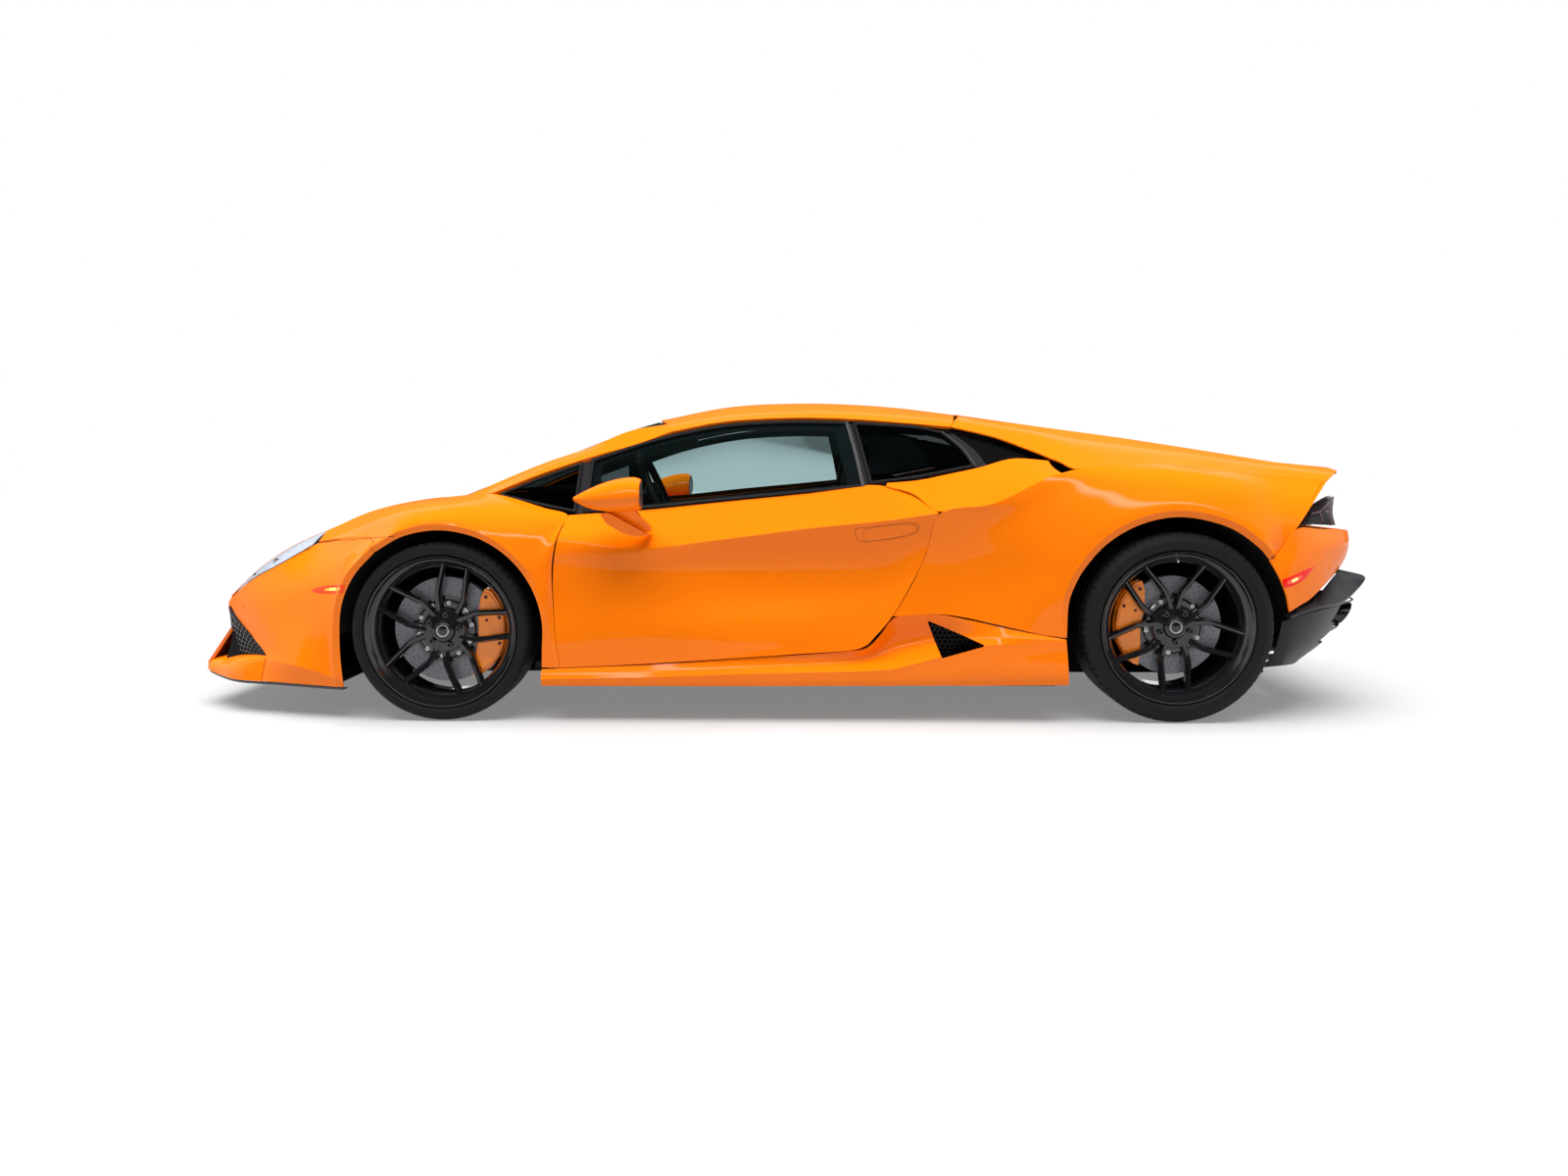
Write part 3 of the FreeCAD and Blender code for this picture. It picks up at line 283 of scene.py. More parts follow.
def tube(pts, r, n=8, m=0, closed=False, caps=True):
    A = np.array(pts, float)
    k = len(A)
    r = np.broadcast_to(np.array(r, float), (k,))
    if closed:
        T = np.roll(A, -1, 0) - np.roll(A, 1, 0)
    else:
        T = np.gradient(A, axis=0)
    T /= np.maximum(np.linalg.norm(T, axis=1, keepdims=True), 1e-12)
    up = np.array([0, 0, 1.0]) if abs(T[0][2]) < 0.9 else np.array([0, 1.0, 0])
    secs = []
    x = np.cross(up, T[0])
    x /= np.linalg.norm(x)
    for i in range(k):
        x = x - T[i] * np.dot(x, T[i])
        x /= max(np.linalg.norm(x), 1e-9)
        y = np.cross(T[i], x)
        a = np.arange(n) * 2 * math.pi / n
        secs.append(A[i] + r[i] * (np.cos(a)[:, None] * x + np.sin(a)[:, None] * y))
    return loft(secs, m, closed, caps)


def rod(a, b, r, n=24, m=0):
    return tube([a, b], r, n, m)


def spin(prof, n=96, m=0, closed=False, a0=0.0, a1=360.0, ang=None, rad=None, caps=False):
    """prof: list of (y, r) in mm about the y axis at the origin. rad(i, k) may shift the radius in mm."""
    full = abs(a1 - a0) > 359.9
    if ang is None:
        ang = np.linspace(a0, a1, n + (0 if full else 1), endpoint=not full)
    a = np.radians(ang)
    pr = np.array(prof, float) * MM
    R = np.repeat(pr[:, 1][None, :], len(a), 0)
    if rad is not None:
        R = R + rad * MM
    V = np.stack([R * np.cos(a)[:, None], np.repeat(pr[:, 0][None, :], len(a), 0), R * np.sin(a)[:, None]], 2)
    k, n_ = V.shape[:2]
    F = []
    ii = k if full else k - 1
    i, j = np.meshgrid(np.arange(ii), np.arange(n_ if closed else n_ - 1), indexing="ij")
    i, j = i.ravel(), j.ravel()
    i2, j2 = (i + 1) % k, (j + 1) % n_
    F = np.stack([i * n_ + j, i * n_ + j2, i2 * n_ + j2, i2 * n_ + j], 1)
    F = [tuple(int(q) for q in f) for f in F]
    if caps and not full:
        F.append(tuple(range(n_))[::-1])
        F.append(tuple((k - 1) * n_ + q for q in range(n_)))
    return (V.reshape(-1, 3), F, [m] * len(F))


def ball(c, rx, ry, rz, nu=24, nv=14, m=0):
    V, F = [], []
    for i in range(nv + 1):
        th = math.pi * i / nv
        for j in range(nu):
            ph = 2 * math.pi * j / nu
            V.append((c[0] + rx * math.sin(th) * math.cos(ph), c[1] + ry * math.sin(th) * math.sin(ph), c[2] + rz * math.cos(th)))
    for i in range(nv):
        for j in range(nu):
            a, b = i * nu + j, i * nu + (j + 1) % nu
            F.append((a, a + nu, b + nu, b))
    return (np.array(V), F, [m] * len(F))


# ---------------------------------------------------------------- objects
def obj(name, parts, mats, body, nodes=(), bevel=0.0, seg=2, angle=30.0, sharp=35.0, weld=0.0, fix=False):
    V, F, M, n = [], [], [], 0
    for v, f, m in parts:
        V.append(np.asarray(v, float))
        F += [tuple(int(i) + n for i in q) for q in f]
        M += list(m)
        n += len(v)
    me = bpy.data.meshes.new(name)
    me.from_pydata(np.concatenate(V).tolist(), [], F)
    me.polygons.foreach_set("material_index", np.array(M, np.int32))
    for mt in (mats if isinstance(mats, (list, tuple)) else [mats]):
        me.materials.append(mt)
    if weld or fix:
        bm = bmesh.new()
        bm.from_mesh(me)
        if weld:
            bmesh.ops.remove_doubles(bm, verts=bm.verts, dist=weld * MM)
        if fix:
            bmesh.ops.recalc_face_normals(bm, faces=bm.faces)
        bm.to_mesh(me)
        bm.free()
    me.validate()
    me.polygons.foreach_set("use_smooth", np.ones(len(me.polygons), bool))
    if not bevel:
        me.set_sharp_from_angle(angle=math.radians(sharp))
    me.update()
    o = bpy.data.objects.new(name, me)
    bpy.context.scene.collection.objects.link(o)
    if bevel:
        b = o.modifiers.new("edge", "BEVEL")
        b.width = bevel * MM
        b.segments = seg
        b.limit_method = "ANGLE"
        b.angle_limit = math.radians(angle)
        b.harden_normals = True
        b.miter_outer = "MITER_ARC"
        b.use_clamp_overlap = True
    if body is not None:
        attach(o, body)
    if nodes:
        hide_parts(*nodes)
    return o


def boolean(o, cutter_parts, op="DIFFERENCE", first=True):
    c = obj("tmp_cut", cutter_parts, [], None, fix=True)
    md = o.modifiers.new("cut", "BOOLEAN")
    md.operation = op
    md.solver = "EXACT"
    md.object = c
    if first and len(o.modifiers) > 1:
        o.modifiers.move(len(o.modifiers) - 1, 0)
    dg = bpy.context.evaluated_depsgraph_get()
    others = [m for m in o.modifiers if m != md]
    for m in others:
        m.show_viewport = False
    dg = bpy.context.evaluated_depsgraph_get()
    me = bpy.data.meshes.new_from_object(o.evaluated_get(dg))
    for m in others:
        m.show_viewport = True
    old = o.data
    o.modifiers.remove(md)
    o.data = me
    bpy.data.meshes.remove(old)
    cm = c.data
    bpy.data.objects.remove(c)
    bpy.data.meshes.remove(cm)
    return o


def bvh(parts):
    V, F, n = [], [], 0
    for v, f, m in parts:
        V += [tuple(q) for q in np.asarray(v)]
        F += [tuple(int(i) + n for i in q) for q in f]
        n += len(v)
    return BVHTree.FromPolygons(V, F)


# ---------------------------------------------------------------- the photo's camera
CAM = np.array([0.08837, -5.55742, 0.91444])
yaw, pit, FPX = 0.0165, 0.0937, 1336.95
FW = np.array([-math.sin(yaw) * math.cos(pit), math.cos(yaw) * math.cos(pit), -math.sin(pit)])
RT = np.array([math.cos(yaw), math.sin(yaw), 0.0])
UP = np.cross(RT, FW)


def ray(px, py):
    d = FW + RT * (px - 800) / FPX - UP * (py - 600) / FPX
    return d / np.linalg.norm(d)


def at_y(px, py, y):
    """Point of the sight line through a pixel on the plane y (mm)."""
    d = ray(px, py)
    return CAM + d * ((y * MM - CAM[1]) / d[1])


def on(tree, px, py, out=0.0):
    d = ray(px, py)
    h, nrm, i, dist = tree.ray_cast(Vector(CAM), Vector(d))
    if h is None:
        return None
    return np.array(h) - d * out * MM


def draw(tree, pts, n=30, out=0.0, cuts=(), closed=False):
    """3-D line on a surface under a line given in photo pixels."""
    q = [(p[0], p[1], 0.0) for p in pts]
    if closed:
        q = q + [q[0]]
    L = line(q, n, cuts)
    r = [on(tree, a[0], a[1], out) for a in L]
    return np.array([p for p in r if p is not None])


# ---------------------------------------------------------------- materials
def mat(name, col, rough=0.5, metal=0.0, coat=0.0, coat_rough=0.03, spec=0.5, var=(6.0, 0.06), rv=0.05, bump=(400.0, 0.02), alpha=1.0, emit=None, sheen=0.0, kind="noise", strength=0.3):
    m = bpy.data.materials.new(name)
    m.use_nodes = True
    nt = m.node_tree
    N, L = nt.nodes, nt.links
    bs = N["Principled BSDF"]
    bs.inputs["Metallic"].default_value = metal
    bs.inputs["Specular IOR Level"].default_value = spec
    bs.inputs["Coat Weight"].default_value = coat
    bs.inputs["Coat Roughness"].default_value = coat_rough
    bs.inputs["Alpha"].default_value = alpha
    if sheen:
        bs.inputs["Sheen Weight"].default_value = sheen
        bs.inputs["Sheen Roughness"].default_value = 0.5
    if emit:
        bs.inputs["Emission Color"].default_value = (*emit[0], 1)
        bs.inputs["Emission Strength"].default_value = emit[1]
    tc = N.new("ShaderNodeTexCoord")
    nz = N.new("ShaderNodeTexNoise")
    nz.inputs["Scale"].default_value = var[0]
    nz.inputs["Detail"].default_value = 4.0
    L.new(tc.outputs["Object"], nz.inputs["Vector"])
    mx = N.new("ShaderNodeMix")
    mx.data_type = "RGBA"
    a = var[1]
    mx.inputs[6].default_value = (*[max(c * (1 - a), 0) for c in col], 1)
    mx.inputs[7].default_value = (*[min(c * (1 + a), 1) for c in col], 1)
    L.new(nz.outputs["Fac"], mx.inputs[0])
    L.new(mx.outputs[2], bs.inputs["Base Color"])
    mr = N.new("ShaderNodeMapRange")
    mr.inputs["To Min"].default_value = max(rough - rv, 0.0)
    mr.inputs["To Max"].default_value = min(rough + rv, 1.0)
    L.new(nz.outputs["Fac"], mr.inputs["Value"])
    L.new(mr.outputs["Result"], bs.inputs["Roughness"])
    if bump:
        if kind == "voronoi":
            b = N.new("ShaderNodeTexVoronoi")
            out = b.outputs["Distance"]
        else:
            b = N.new("ShaderNodeTexNoise")
            b.inputs["Detail"].default_value = 2.0
            out = b.outputs["Fac"]
        b.inputs["Scale"].default_value = bump[0]
        L.new(tc.outputs["Object"], b.inputs["Vector"])
        bp = N.new("ShaderNodeBump")
        bp.inputs["Strength"].default_value = strength
        bp.inputs["Distance"].default_value = bump[1] * MM
        L.new(out, bp.inputs["Height"])
        L.new(bp.outputs["Normal"], bs.inputs["Normal"])
    return m


def glass(name, col, tint, spec=0.5, lo=0.02, hi=0.55):
    """Sheet glass: tinted and clear from the front, a mirror at a shallow angle."""
    m = mat(name, col, rough=0.015, rv=0.01, spec=spec, bump=None, var=(3.0, 0.1))
    nt = m.node_tree
    N, L = nt.nodes, nt.links
    out = [n for n in N if n.type == "OUTPUT_MATERIAL"][0]
    fr = N.new("ShaderNodeFresnel")
    fr.inputs["IOR"].default_value = 1.45
    mr = N.new("ShaderNodeMapRange")
    mr.inputs["From Min"].default_value = 0.035
    mr.inputs["From Max"].default_value = 0.8
    mr.inputs["To Min"].default_value = lo
    mr.inputs["To Max"].default_value = hi
    tr = N.new("ShaderNodeBsdfTransparent")
    nz = N.new("ShaderNodeTexNoise")
    nz.inputs["Scale"].default_value = 2.0
    tc = [n for n in N if n.type == "TEX_COORD"][0]
    L.new(tc.outputs["Object"], nz.inputs["Vector"])
    mc = N.new("ShaderNodeMix")
    mc.data_type = "RGBA"
    mc.inputs[6].default_value = (*[c * 0.97 for c in tint], 1)
    mc.inputs[7].default_value = (*[min(c * 1.03, 1) for c in tint], 1)
    L.new(nz.outputs["Fac"], mc.inputs[0])
    L.new(mc.outputs[2], tr.inputs["Color"])
    mx = N.new("ShaderNodeMixShader")
    L.new(fr.outputs["Fac"], mr.inputs["Value"])
    L.new(mr.outputs["Result"], mx.inputs[0])
    L.new(tr.outputs[0], mx.inputs[1])
    L.new(N["Principled BSDF"].outputs[0], mx.inputs[2])
    L.new(mx.outputs[0], out.inputs["Surface"])
    return m


def paint(name, col, dark):
    """Gloss pearl paint: fine flake under a clear coat."""
    m = mat(name, col, rough=0.5, rv=0.03, coat=0.37, coat_rough=0.02, spec=0.06, var=(2.5, 0.03), bump=(150.0, 0.02), strength=0.04)
    nt = m.node_tree
    N, L = nt.nodes, nt.links
    bs = N["Principled BSDF"]
    bs.inputs["Coat IOR"].default_value = 1.5
    tc = [n for n in N if n.type == "TEX_COORD"][0]
    vo = N.new("ShaderNodeTexVoronoi")
    vo.inputs["Scale"].default_value = 1400.0
    L.new(tc.outputs["Object"], vo.inputs["Vector"])
    se = N.new("ShaderNodeSeparateColor")
    L.new(vo.outputs["Color"], se.inputs["Color"])
    mr = N.new("ShaderNodeMapRange")
    mr.inputs["From Min"].default_value = 0.0
    mr.inputs["From Max"].default_value = 1.0
    mr.inputs["To Min"].default_value = 0.0
    mr.inputs["To Max"].default_value = 0.22
    L.new(se.outputs["Red"], mr.inputs["Value"])
    mx0 = [n for n in N if n.type == "MIX"][0]
    mx = N.new("ShaderNodeMix")
    mx.data_type = "RGBA"
    mx.inputs[7].default_value = (*dark, 1)
    L.new(mr.outputs["Result"], mx.inputs[0])
    L.new(mx0.outputs[2], mx.inputs[6])
    L.new(mx.outputs[2], bs.inputs["Base Color"])
    return m


PAINT = paint("paint_orange", (0.90, 0.185, 0.0003), (0.76, 0.115, 0.0002))
INNER = mat("inner_dark", (0.012, 0.012, 0.013), 0.7, bump=(300, 0.1))
BLACKG = mat("gloss_black", (0.012, 0.012, 0.013), 0.16, coat=0.8, spec=0.5, rv=0.04, bump=(60, 0.02), strength=0.08)
SATIN = mat("satin_black", (0.030, 0.031, 0.034), 0.38, rv=0.06, var=(30, 0.15), bump=(900, 0.05), strength=0.25)
FRAMEB = mat("frame_black", (0.010, 0.010, 0.011), 0.40, rv=0.05, spec=0.3, var=(30, 0.15), bump=(120, 0.01), strength=0.02)
SEAMO = mat("seam_orange", (0.30, 0.048, 0.001), 0.6, bump=(300, 0.05))
TAILR = mat("tail_lines", (0.16, 0.010, 0.012), 0.3, coat=0.5, bump=(200, 0.1))
TAILD = mat("tail_smoke", (0.055, 0.050, 0.056), 0.32, coat=0.6, bump=(90, 0.2))
COMPO = mat("dark_composite", (0.017, 0.017, 0.021), 0.40, spec=0.3, rv=0.06, var=(14, 0.12), bump=(1200, 0.06), strength=0.25)
MESHB = mat("mesh_black", (0.020, 0.020, 0.021), 0.35, rv=0.08, bump=(700, 0.05))
# Near-black matte with no reflection: painted shade, set where holes, recesses and gaps between parts fall into
# shadow.
PAINTED_SHADE_BLACK = mat("painted_shade_black", (0.003, 0.003, 0.003), 0.95, spec=0.05, bump=(200, 0.2))
LINER = mat("liner_felt", (0.006, 0.006, 0.0065), 0.95, spec=0.1, bump=(500, 0.5), var=(40, 0.3), sheen=0.02)
RUBBER = mat("tyre_rubber", (0.009, 0.009, 0.010), 0.55, spec=0.15, rv=0.08, var=(18, 0.2), bump=(350, 0.15), strength=0.3)
RIMB = mat("rim_gloss_black", (0.007, 0.007, 0.0085), 0.12, coat=0.8, spec=0.25, coat_rough=0.02, rv=0.04, bump=(70, 0.02), strength=0.05)
DISCM = mat("disc_ceramic", (0.23, 0.235, 0.26), 0.38, metal=0.25, rv=0.08, var=(120, 0.12), bump=(700, 0.06))
# Near-black for the drilled holes and bolt centres: painted shade inside the holes.
DISC_HOLE_SHADE = mat("disc_hole_painted_shade", (0.008, 0.008, 0.009), 0.6, bump=(400, 0.05))
STEEL = mat("bright_steel", (0.62, 0.62, 0.63), 0.28, metal=1.0, rv=0.08, bump=(300, 0.02))
ALU = mat("cast_metal", (0.30, 0.30, 0.31), 0.5, metal=0.8, rv=0.1, bump=(250, 0.15))
# Caliper paint with a small orange emission: a painted glow that lifts the caliper out of the wheel's shade.
CALIPER_PAINTED_GLOW = mat("caliper_orange_painted_glow", (1.0, 0.25, 0.003), 0.30, coat=0.5, coat_rough=0.08, rv=0.05, emit=((1.0, 0.22, 0.003), 0.09), var=(40, 0.08), bump=(400, 0.05))
CALD = mat("caliper_mark", (0.10, 0.02, 0.005), 0.6, bump=(300, 0.05))
LEATH = mat("cabin_leather", (0.020, 0.019, 0.019), 0.55, rv=0.08, kind="voronoi", bump=(450, 0.25), strength=0.35)
TANL = mat("tan_leather", (0.33, 0.085, 0.025), 0.5, rv=0.08, kind="voronoi", bump=(450, 0.25), strength=0.35)
CLOTH = mat("cushion_leather", (0.024, 0.022, 0.022), 0.6, rv=0.06, kind="voronoi", bump=(500, 0.25), strength=0.4, sheen=0.1)
HEADL = mat("roof_lining", (0.035, 0.034, 0.034), 0.9, bump=(900, 0.3))
AMBER = mat("amber_lens", (0.60, 0.030, 0.001), 0.2, coat=0.2, spec=0.2, bump=(90, 0.3), emit=((1.0, 0.07, 0.002), 0.35))
AMBERH = mat("amber_lit", (1.0, 0.55, 0.05), 0.2, coat=1.0, emit=((1.0, 0.55, 0.06), 1.6), bump=(90, 0.2))
AMBERM = mat("amber_mid", (1.0, 0.26, 0.01), 0.2, coat=0.2, emit=((1.0, 0.20, 0.005), 0.8), bump=(90, 0.2))
REDM = mat("red_mid", (0.9, 0.05, 0.02), 0.2, coat=0.2, emit=((1.0, 0.06, 0.01), 0.8), bump=(90, 0.2))
REDL = mat("red_lens", (0.50, 0.004, 0.003), 0.2, coat=0.2, spec=0.2, bump=(90, 0.3), emit=((1.0, 0.008, 0.004), 0.35))
REDH = mat("red_lit", (1.0, 0.25, 0.10), 0.2, coat=1.0, emit=((1.0, 0.42, 0.10), 1.5), bump=(90, 0.2))
LAMPB = mat("lamp_bowl", (0.55, 0.57, 0.60), 0.28, metal=0.5, rv=0.1, bump=(60, 0.3))
LAMPD = mat("lamp_dark", (0.05, 0.052, 0.058), 0.3, coat=0.5, bump=(200, 0.1))
LED = mat("lamp_guide", (0.85, 0.88, 0.92), 0.2, coat=0.6, emit=((1, 1, 1), 0.35), bump=(80, 0.1))
GLASSW = glass("window_glass", (0.006, 0.010, 0.010), (0.775, 0.850, 0.853))
GLASSS = glass("screen_glass", (0.006, 0.010, 0.010), (0.60, 0.70, 0.69))
GLASSR = glass("quarter_glass", (0.004, 0.006, 0.006), (0.30, 0.33, 0.34))
LAMPG = glass("lamp_cover", (0.60, 0.64, 0.70), (0.92, 0.94, 0.97), spec=1.0, lo=0.12, hi=0.8)
PIPE = mat("exhaust_dark", (0.045, 0.045, 0.048), 0.3, metal=1.0, rv=0.08, bump=(300, 0.03))
UNDER = mat("underbody_black", (0.02, 0.02, 0.02), 0.8, bump=(200, 0.3), var=(10, 0.2))
# Grey trim; on the rear edge of the quarter glass the same grey is a painted highlight line.
GREY_TRIM_AND_HIGHLIGHT = mat("grey_trim_and_painted_highlight", (0.045, 0.043, 0.046), 0.35, rv=0.05, bump=(300, 0.03))

# ---------------------------------------------------------------- tables
FENDER_F = [
    [AF(128, -944), P(-232, -930, 634), P(-262, -872, 651), P(-366, -782, 650), P(-526, -668, 626)],
    [AF(110, -944), P(-130, -944, 692), P(-150, -890, 722), P(-215, -770, 746), P(-330, -580, 746)],
    [AF(90, -944), P(0, -946, 718), P(0, -890, 752), P(-10, -780, 780), P(-20, -596, 797)],
    [AF(72, -943), P(140, -934, 708), P(152, -880, 748), P(152, -800, 779), P(140, -696, 808)],
    [AF(60, -943), P(215, -940, 672), P(258, -903, 712), P(305, -838, 750), P(345, -768, 757)],
    [AF(50, -943), P(272, -941, 630), P(325, -915, 665), P(380, -862, 712), P(436, -803, 733)],
    [AF(40, -942), P(310, -941, 583), P(348, -920, 625), P(386, -892, 664), P(422, -860, 692)],
    [AF(30, -941), P(338, -941, 532), P(362, -930, 573), P(388, -916, 615), P(410, -904, 650)],
    [AF(22, -941), P(354, -941, 484), P(372, -931, 525), P(388, -920, 563), P(401, -911, 600)],
    [AF(14, -941), P(366, -941, 432), P(378, -933, 468), P(388, -922, 508), P(397, -911, 548)],
    [AF(4, -940), P(373, -940, 362), P(382, -935, 384), P(391, -927, 406), P(400, -916, 430)],
    [P(362, -936, 255), P(372, -937, 262), P(385, -935, 273), P(398, -933, 282), P(411, -932, 290)],
    [P(360, -934, 193), P(376, -936, 193), P(392, -935, 192), P(408, -934, 192), P(425, -934, 191)],
]


def lerp(a, b, t, dy=0.0):
    return tuple(np.array(a) * (1 - t) + np.array(b) * t + np.array([0, dy * MM, 0]))


FEN = []
for k, c in enumerate(FENDER_F):
    deg = [128, 110, 90, 72, 60, 50, 40, 30, 22, 14, 4, None, None][k]
    if deg is not None and k < 7:
        band = AF(deg, -951, 387)
    else:
        band = lerp(c[0], c[1], 0.62, -1.5)
    last = c[-1]
    if k == 0:
        tail = [P(-526, -668, 628), P(-523, -588, 665)]
    else:
        tail = [lerp(c[-2], last, 0.8), last]
    FEN.append([c[0], band] + c[1:-1] + tail)

BUMP_F = [
    [P(-700, -815, 122), P(-688, -801, 203), P(-690, -792, 214), P(-770, -720, 275), P(-860, -640, 340), P(-907, -600, 394)],
    [P(-620, -842, 121), P(-612, -852, 196), P(-615, -838, 230), P(-665, -790, 312), P(-740, -725, 400), P(-790, -662, 480)],
    [P(-540, -868, 120), P(-538, -888, 188), P(-537, -872, 240), P(-560, -830, 340), P(-610, -775, 450), P(-655, -695, 549)],
    [P(-470, -890, 119), P(-462, -908, 172), P(-460, -895, 248), P(-465, -868, 370), P(-485, -815, 500), P(-526, -672, 622)],
    [P(-405, -910, 118), P(-405, -922, 152), P(-405, -914, 262), P(-392, -905, 400), P(-374, -872, 532), P(-366, -782, 649)],
    [P(-396, -914, 118), P(-396, -925, 150), P(-399, -924, 266), P(-383, -925, 415), P(-350, -917, 536), P(-262, -873, 650)],
    [P(-390, -917, 118), P(-391, -927, 148), P(-395, -929, 270), P(-376, -935, 425), P(-335, -936, 537), P(-233, -931, 633)],
    [P(-386, -918, 118), P(-387, -928, 147), P(-392, -932, 272), AF(163, -942, 388), AF(146, -946, 388), AF(128.2, -950, 387)],
    [P(-360, -916, 118), P(-362, -924, 143), P(-367, -928, 280), AF(164, -936), AF(146, -939), AF(128.2, -943)],
]
NOSE = [
    [P(-900, -606, 378), P(-903, -602, 386), P(-903, -598, 396)],
    [P(-972, -450, 344), P(-970, -450, 376), P(-950, -450, 408)],
    [P(-1000, -220, 318), P(-998, -220, 362), P(-980, -220, 408)],
    [P(-1006, 0, 300), P(-1006, 0, 352), P(-988, 0, 408)],
]
LIP = [
    [P(-1015, 0, 137), P(-1014, 0, 150), P(-996, 0, 160), P(-960, 0, 168)],
    [P(-1012, -300, 137), P(-1010, -300, 152), P(-992, -300, 162), P(-955, -300, 172)],
    [P(-1003, -590, 136), P(-1000, -585, 156), P(-982, -575, 170), P(-940, -560, 182)],
    [P(-932, -668, 125), P(-928, -662, 150), P(-910, -645, 176), P(-870, -610, 192)],
    [P(-818, -772, 121), P(-814, -766, 158), P(-798, -752, 194), P(-765, -720, 206)],
    [P(-703, -814, 120), P(-697, -806, 165), P(-690, -794, 208), P(-680, -770, 212)],
]
LID = [
    [P(-905, -585, 412), P(-948, -440, 416), P(-975, -220, 418), P(-984, 0, 418)],
    [P(-768, -610, 531), P(-800, -440, 526), P(-826, -220, 520), P(-835, 0, 518)],
    [P(-643, -597, 613), P(-665, -430, 606), P(-690, -210, 600), P(-700, 0, 598)],
    [P(-521, -580, 668), P(-535, -420, 664), P(-550, -210, 660), P(-555, 0, 658)],
    [P(-316, -572, 750), P(-330, -400, 744), P(-345, -200, 739), P(-350, 0, 738)],
    [P(-120, -580, 788), P(-160, -400, 781), P(-215, -200, 771), P(-230, 0, 768)],
    [P(-8, -590, 797), P(-55, -400, 793), P(-112, -200, 787), P(-128, 0, 785)],
]
HL = [
    [P(-880, -612, 412), P(-862, -606, 440), P(-842, -602, 468)],
    [P(-790, -664, 484), P(-775, -640, 508), P(-765, -614, 532)],
    [P(-655, -698, 553), P(-645, -655, 585), P(-640, -602, 613)],
    [P(-545, -682, 618), P(-535, -645, 640), P(-522, -586, 667)],
]
APL = [
    [P(140, -696, 811), P(90, -650, 808), P(20, -592, 800)],
    [P(314, -682, 880), P(310, -635, 902), P(300, -572, 918)],
    [P(497, -654, 943), P(492, -605, 965), P(482, -556, 981)],
    [P(673, -624, 994), P(660, -580, 1022), P(630, -538, 1043)],
    [P(795, -601, 1040), P(785, -555, 1056), P(770, -520, 1069)],
]
ROOF = [
    [P(800, -600, 1041), P(778, -530, 1066), P(728, -290, 1090), P(706, 0, 1098)],
    [P(1000, -592, 1078), P(1000, -530, 1100), P(1000, -280, 1142), P(1000, 0, 1152)],
    [P(1268, -586, 1092), P(1268, -525, 1115), P(1268, -280, 1156), P(1268, 0, 1165)],
    [P(1474, -585, 1087), P(1474, -522, 1112), P(1474, -280, 1152), P(1474, 0, 1161)],
    [P(1681, -580, 1072), P(1681, -515, 1098), P(1681, -280, 1137), P(1681, 0, 1146)],
    [P(1850, -560, 1058), P(1866, -505, 1080), P(1888, -280, 1112), P(1892, 0, 1120)],
]
WS = [
    [P(28, -586, 803), P(-30, -400, 799), P(-85, -200, 794), P(-104, 0, 791)],
    [P(300, -566, 915), P(262, -380, 916), P(232, -190, 917), P(222, 0, 917)],
    [P(482, -550, 978), P(448, -370, 985), P(424, -185, 990), P(416, 0, 991)],
    [P(630, -532, 1040), P(600, -350, 1046), P(574, -175, 1050), P(566, 0, 1051)],
    [P(768, -512, 1068), P(728, -340, 1084), P(708, -170, 1090), P(700, 0, 1092)],
]
FQ = [
    [P(170, -708, 801), P(175, -704, 812)],
    [P(300, -752, 770), P(318, -690, 872)],
    [P(470, -795, 738), P(478, -664, 930)],
]
DOOR = [
    [P(425, -934, 191), P(411, -932, 290), P(401, -916, 430), P(401, -910, 546), P(416, -902, 650), P(441, -803, 733)],
    [P(700, -938, 205.5), P(697, -935, 330), P(694, -915, 440), P(690, -905, 540), P(690, -912, 618), P(705, -803, 751)],
    [P(1000, -938, 224.5), P(1000, -930, 345), P(1000, -900, 450), P(1000, -892, 560), P(1000, -915, 650), P(1000, -808, 781)],
    [P(1280, -936, 244), P(1290, -925, 360), P(1300, -890, 465), P(1310, -885, 580), P(1310, -920, 690), P(1300, -815, 812)],
    [P(1487, -931, 260.5), P(1530, -915, 370), P(1580, -890, 490), P(1610, -890, 600), P(1620, -928, 722), P(1560, -828, 842)],
    [P(1526, -929, 277), P(1607, -922, 371), P(1699, -905, 529), P(1751, -905, 655), P(1774, -930, 745), P(1681, -850, 811)],
]
DG = [
    [P(492, -800, 742), P(496, -728, 846), P(500, -652, 938)],
    [P(705, -806, 756), P(730, -720, 885), P(760, -606, 1022)],
    [P(1000, -810, 786), P(1000, -720, 925), P(1000, -596, 1070)],
    [P(1270, -818, 812), P(1260, -720, 945), P(1250, -590, 1085)],
    [P(1520, -828, 838), P(1495, -725, 958), P(1464, -590, 1080)],
]
RQ = [
    [P(1532, -824, 846), P(1505, -725, 958), P(1476, -592, 1078)],
    [P(1680, -812, 864), P(1650, -710, 965), P(1625, -588, 1070)],
    [P(1770, -800, 880), P(1750, -700, 970), P(1735, -582, 1060)],
    [P(1918, -772, 910), P(1880, -680, 975), P(1812, -575, 1040)],
]
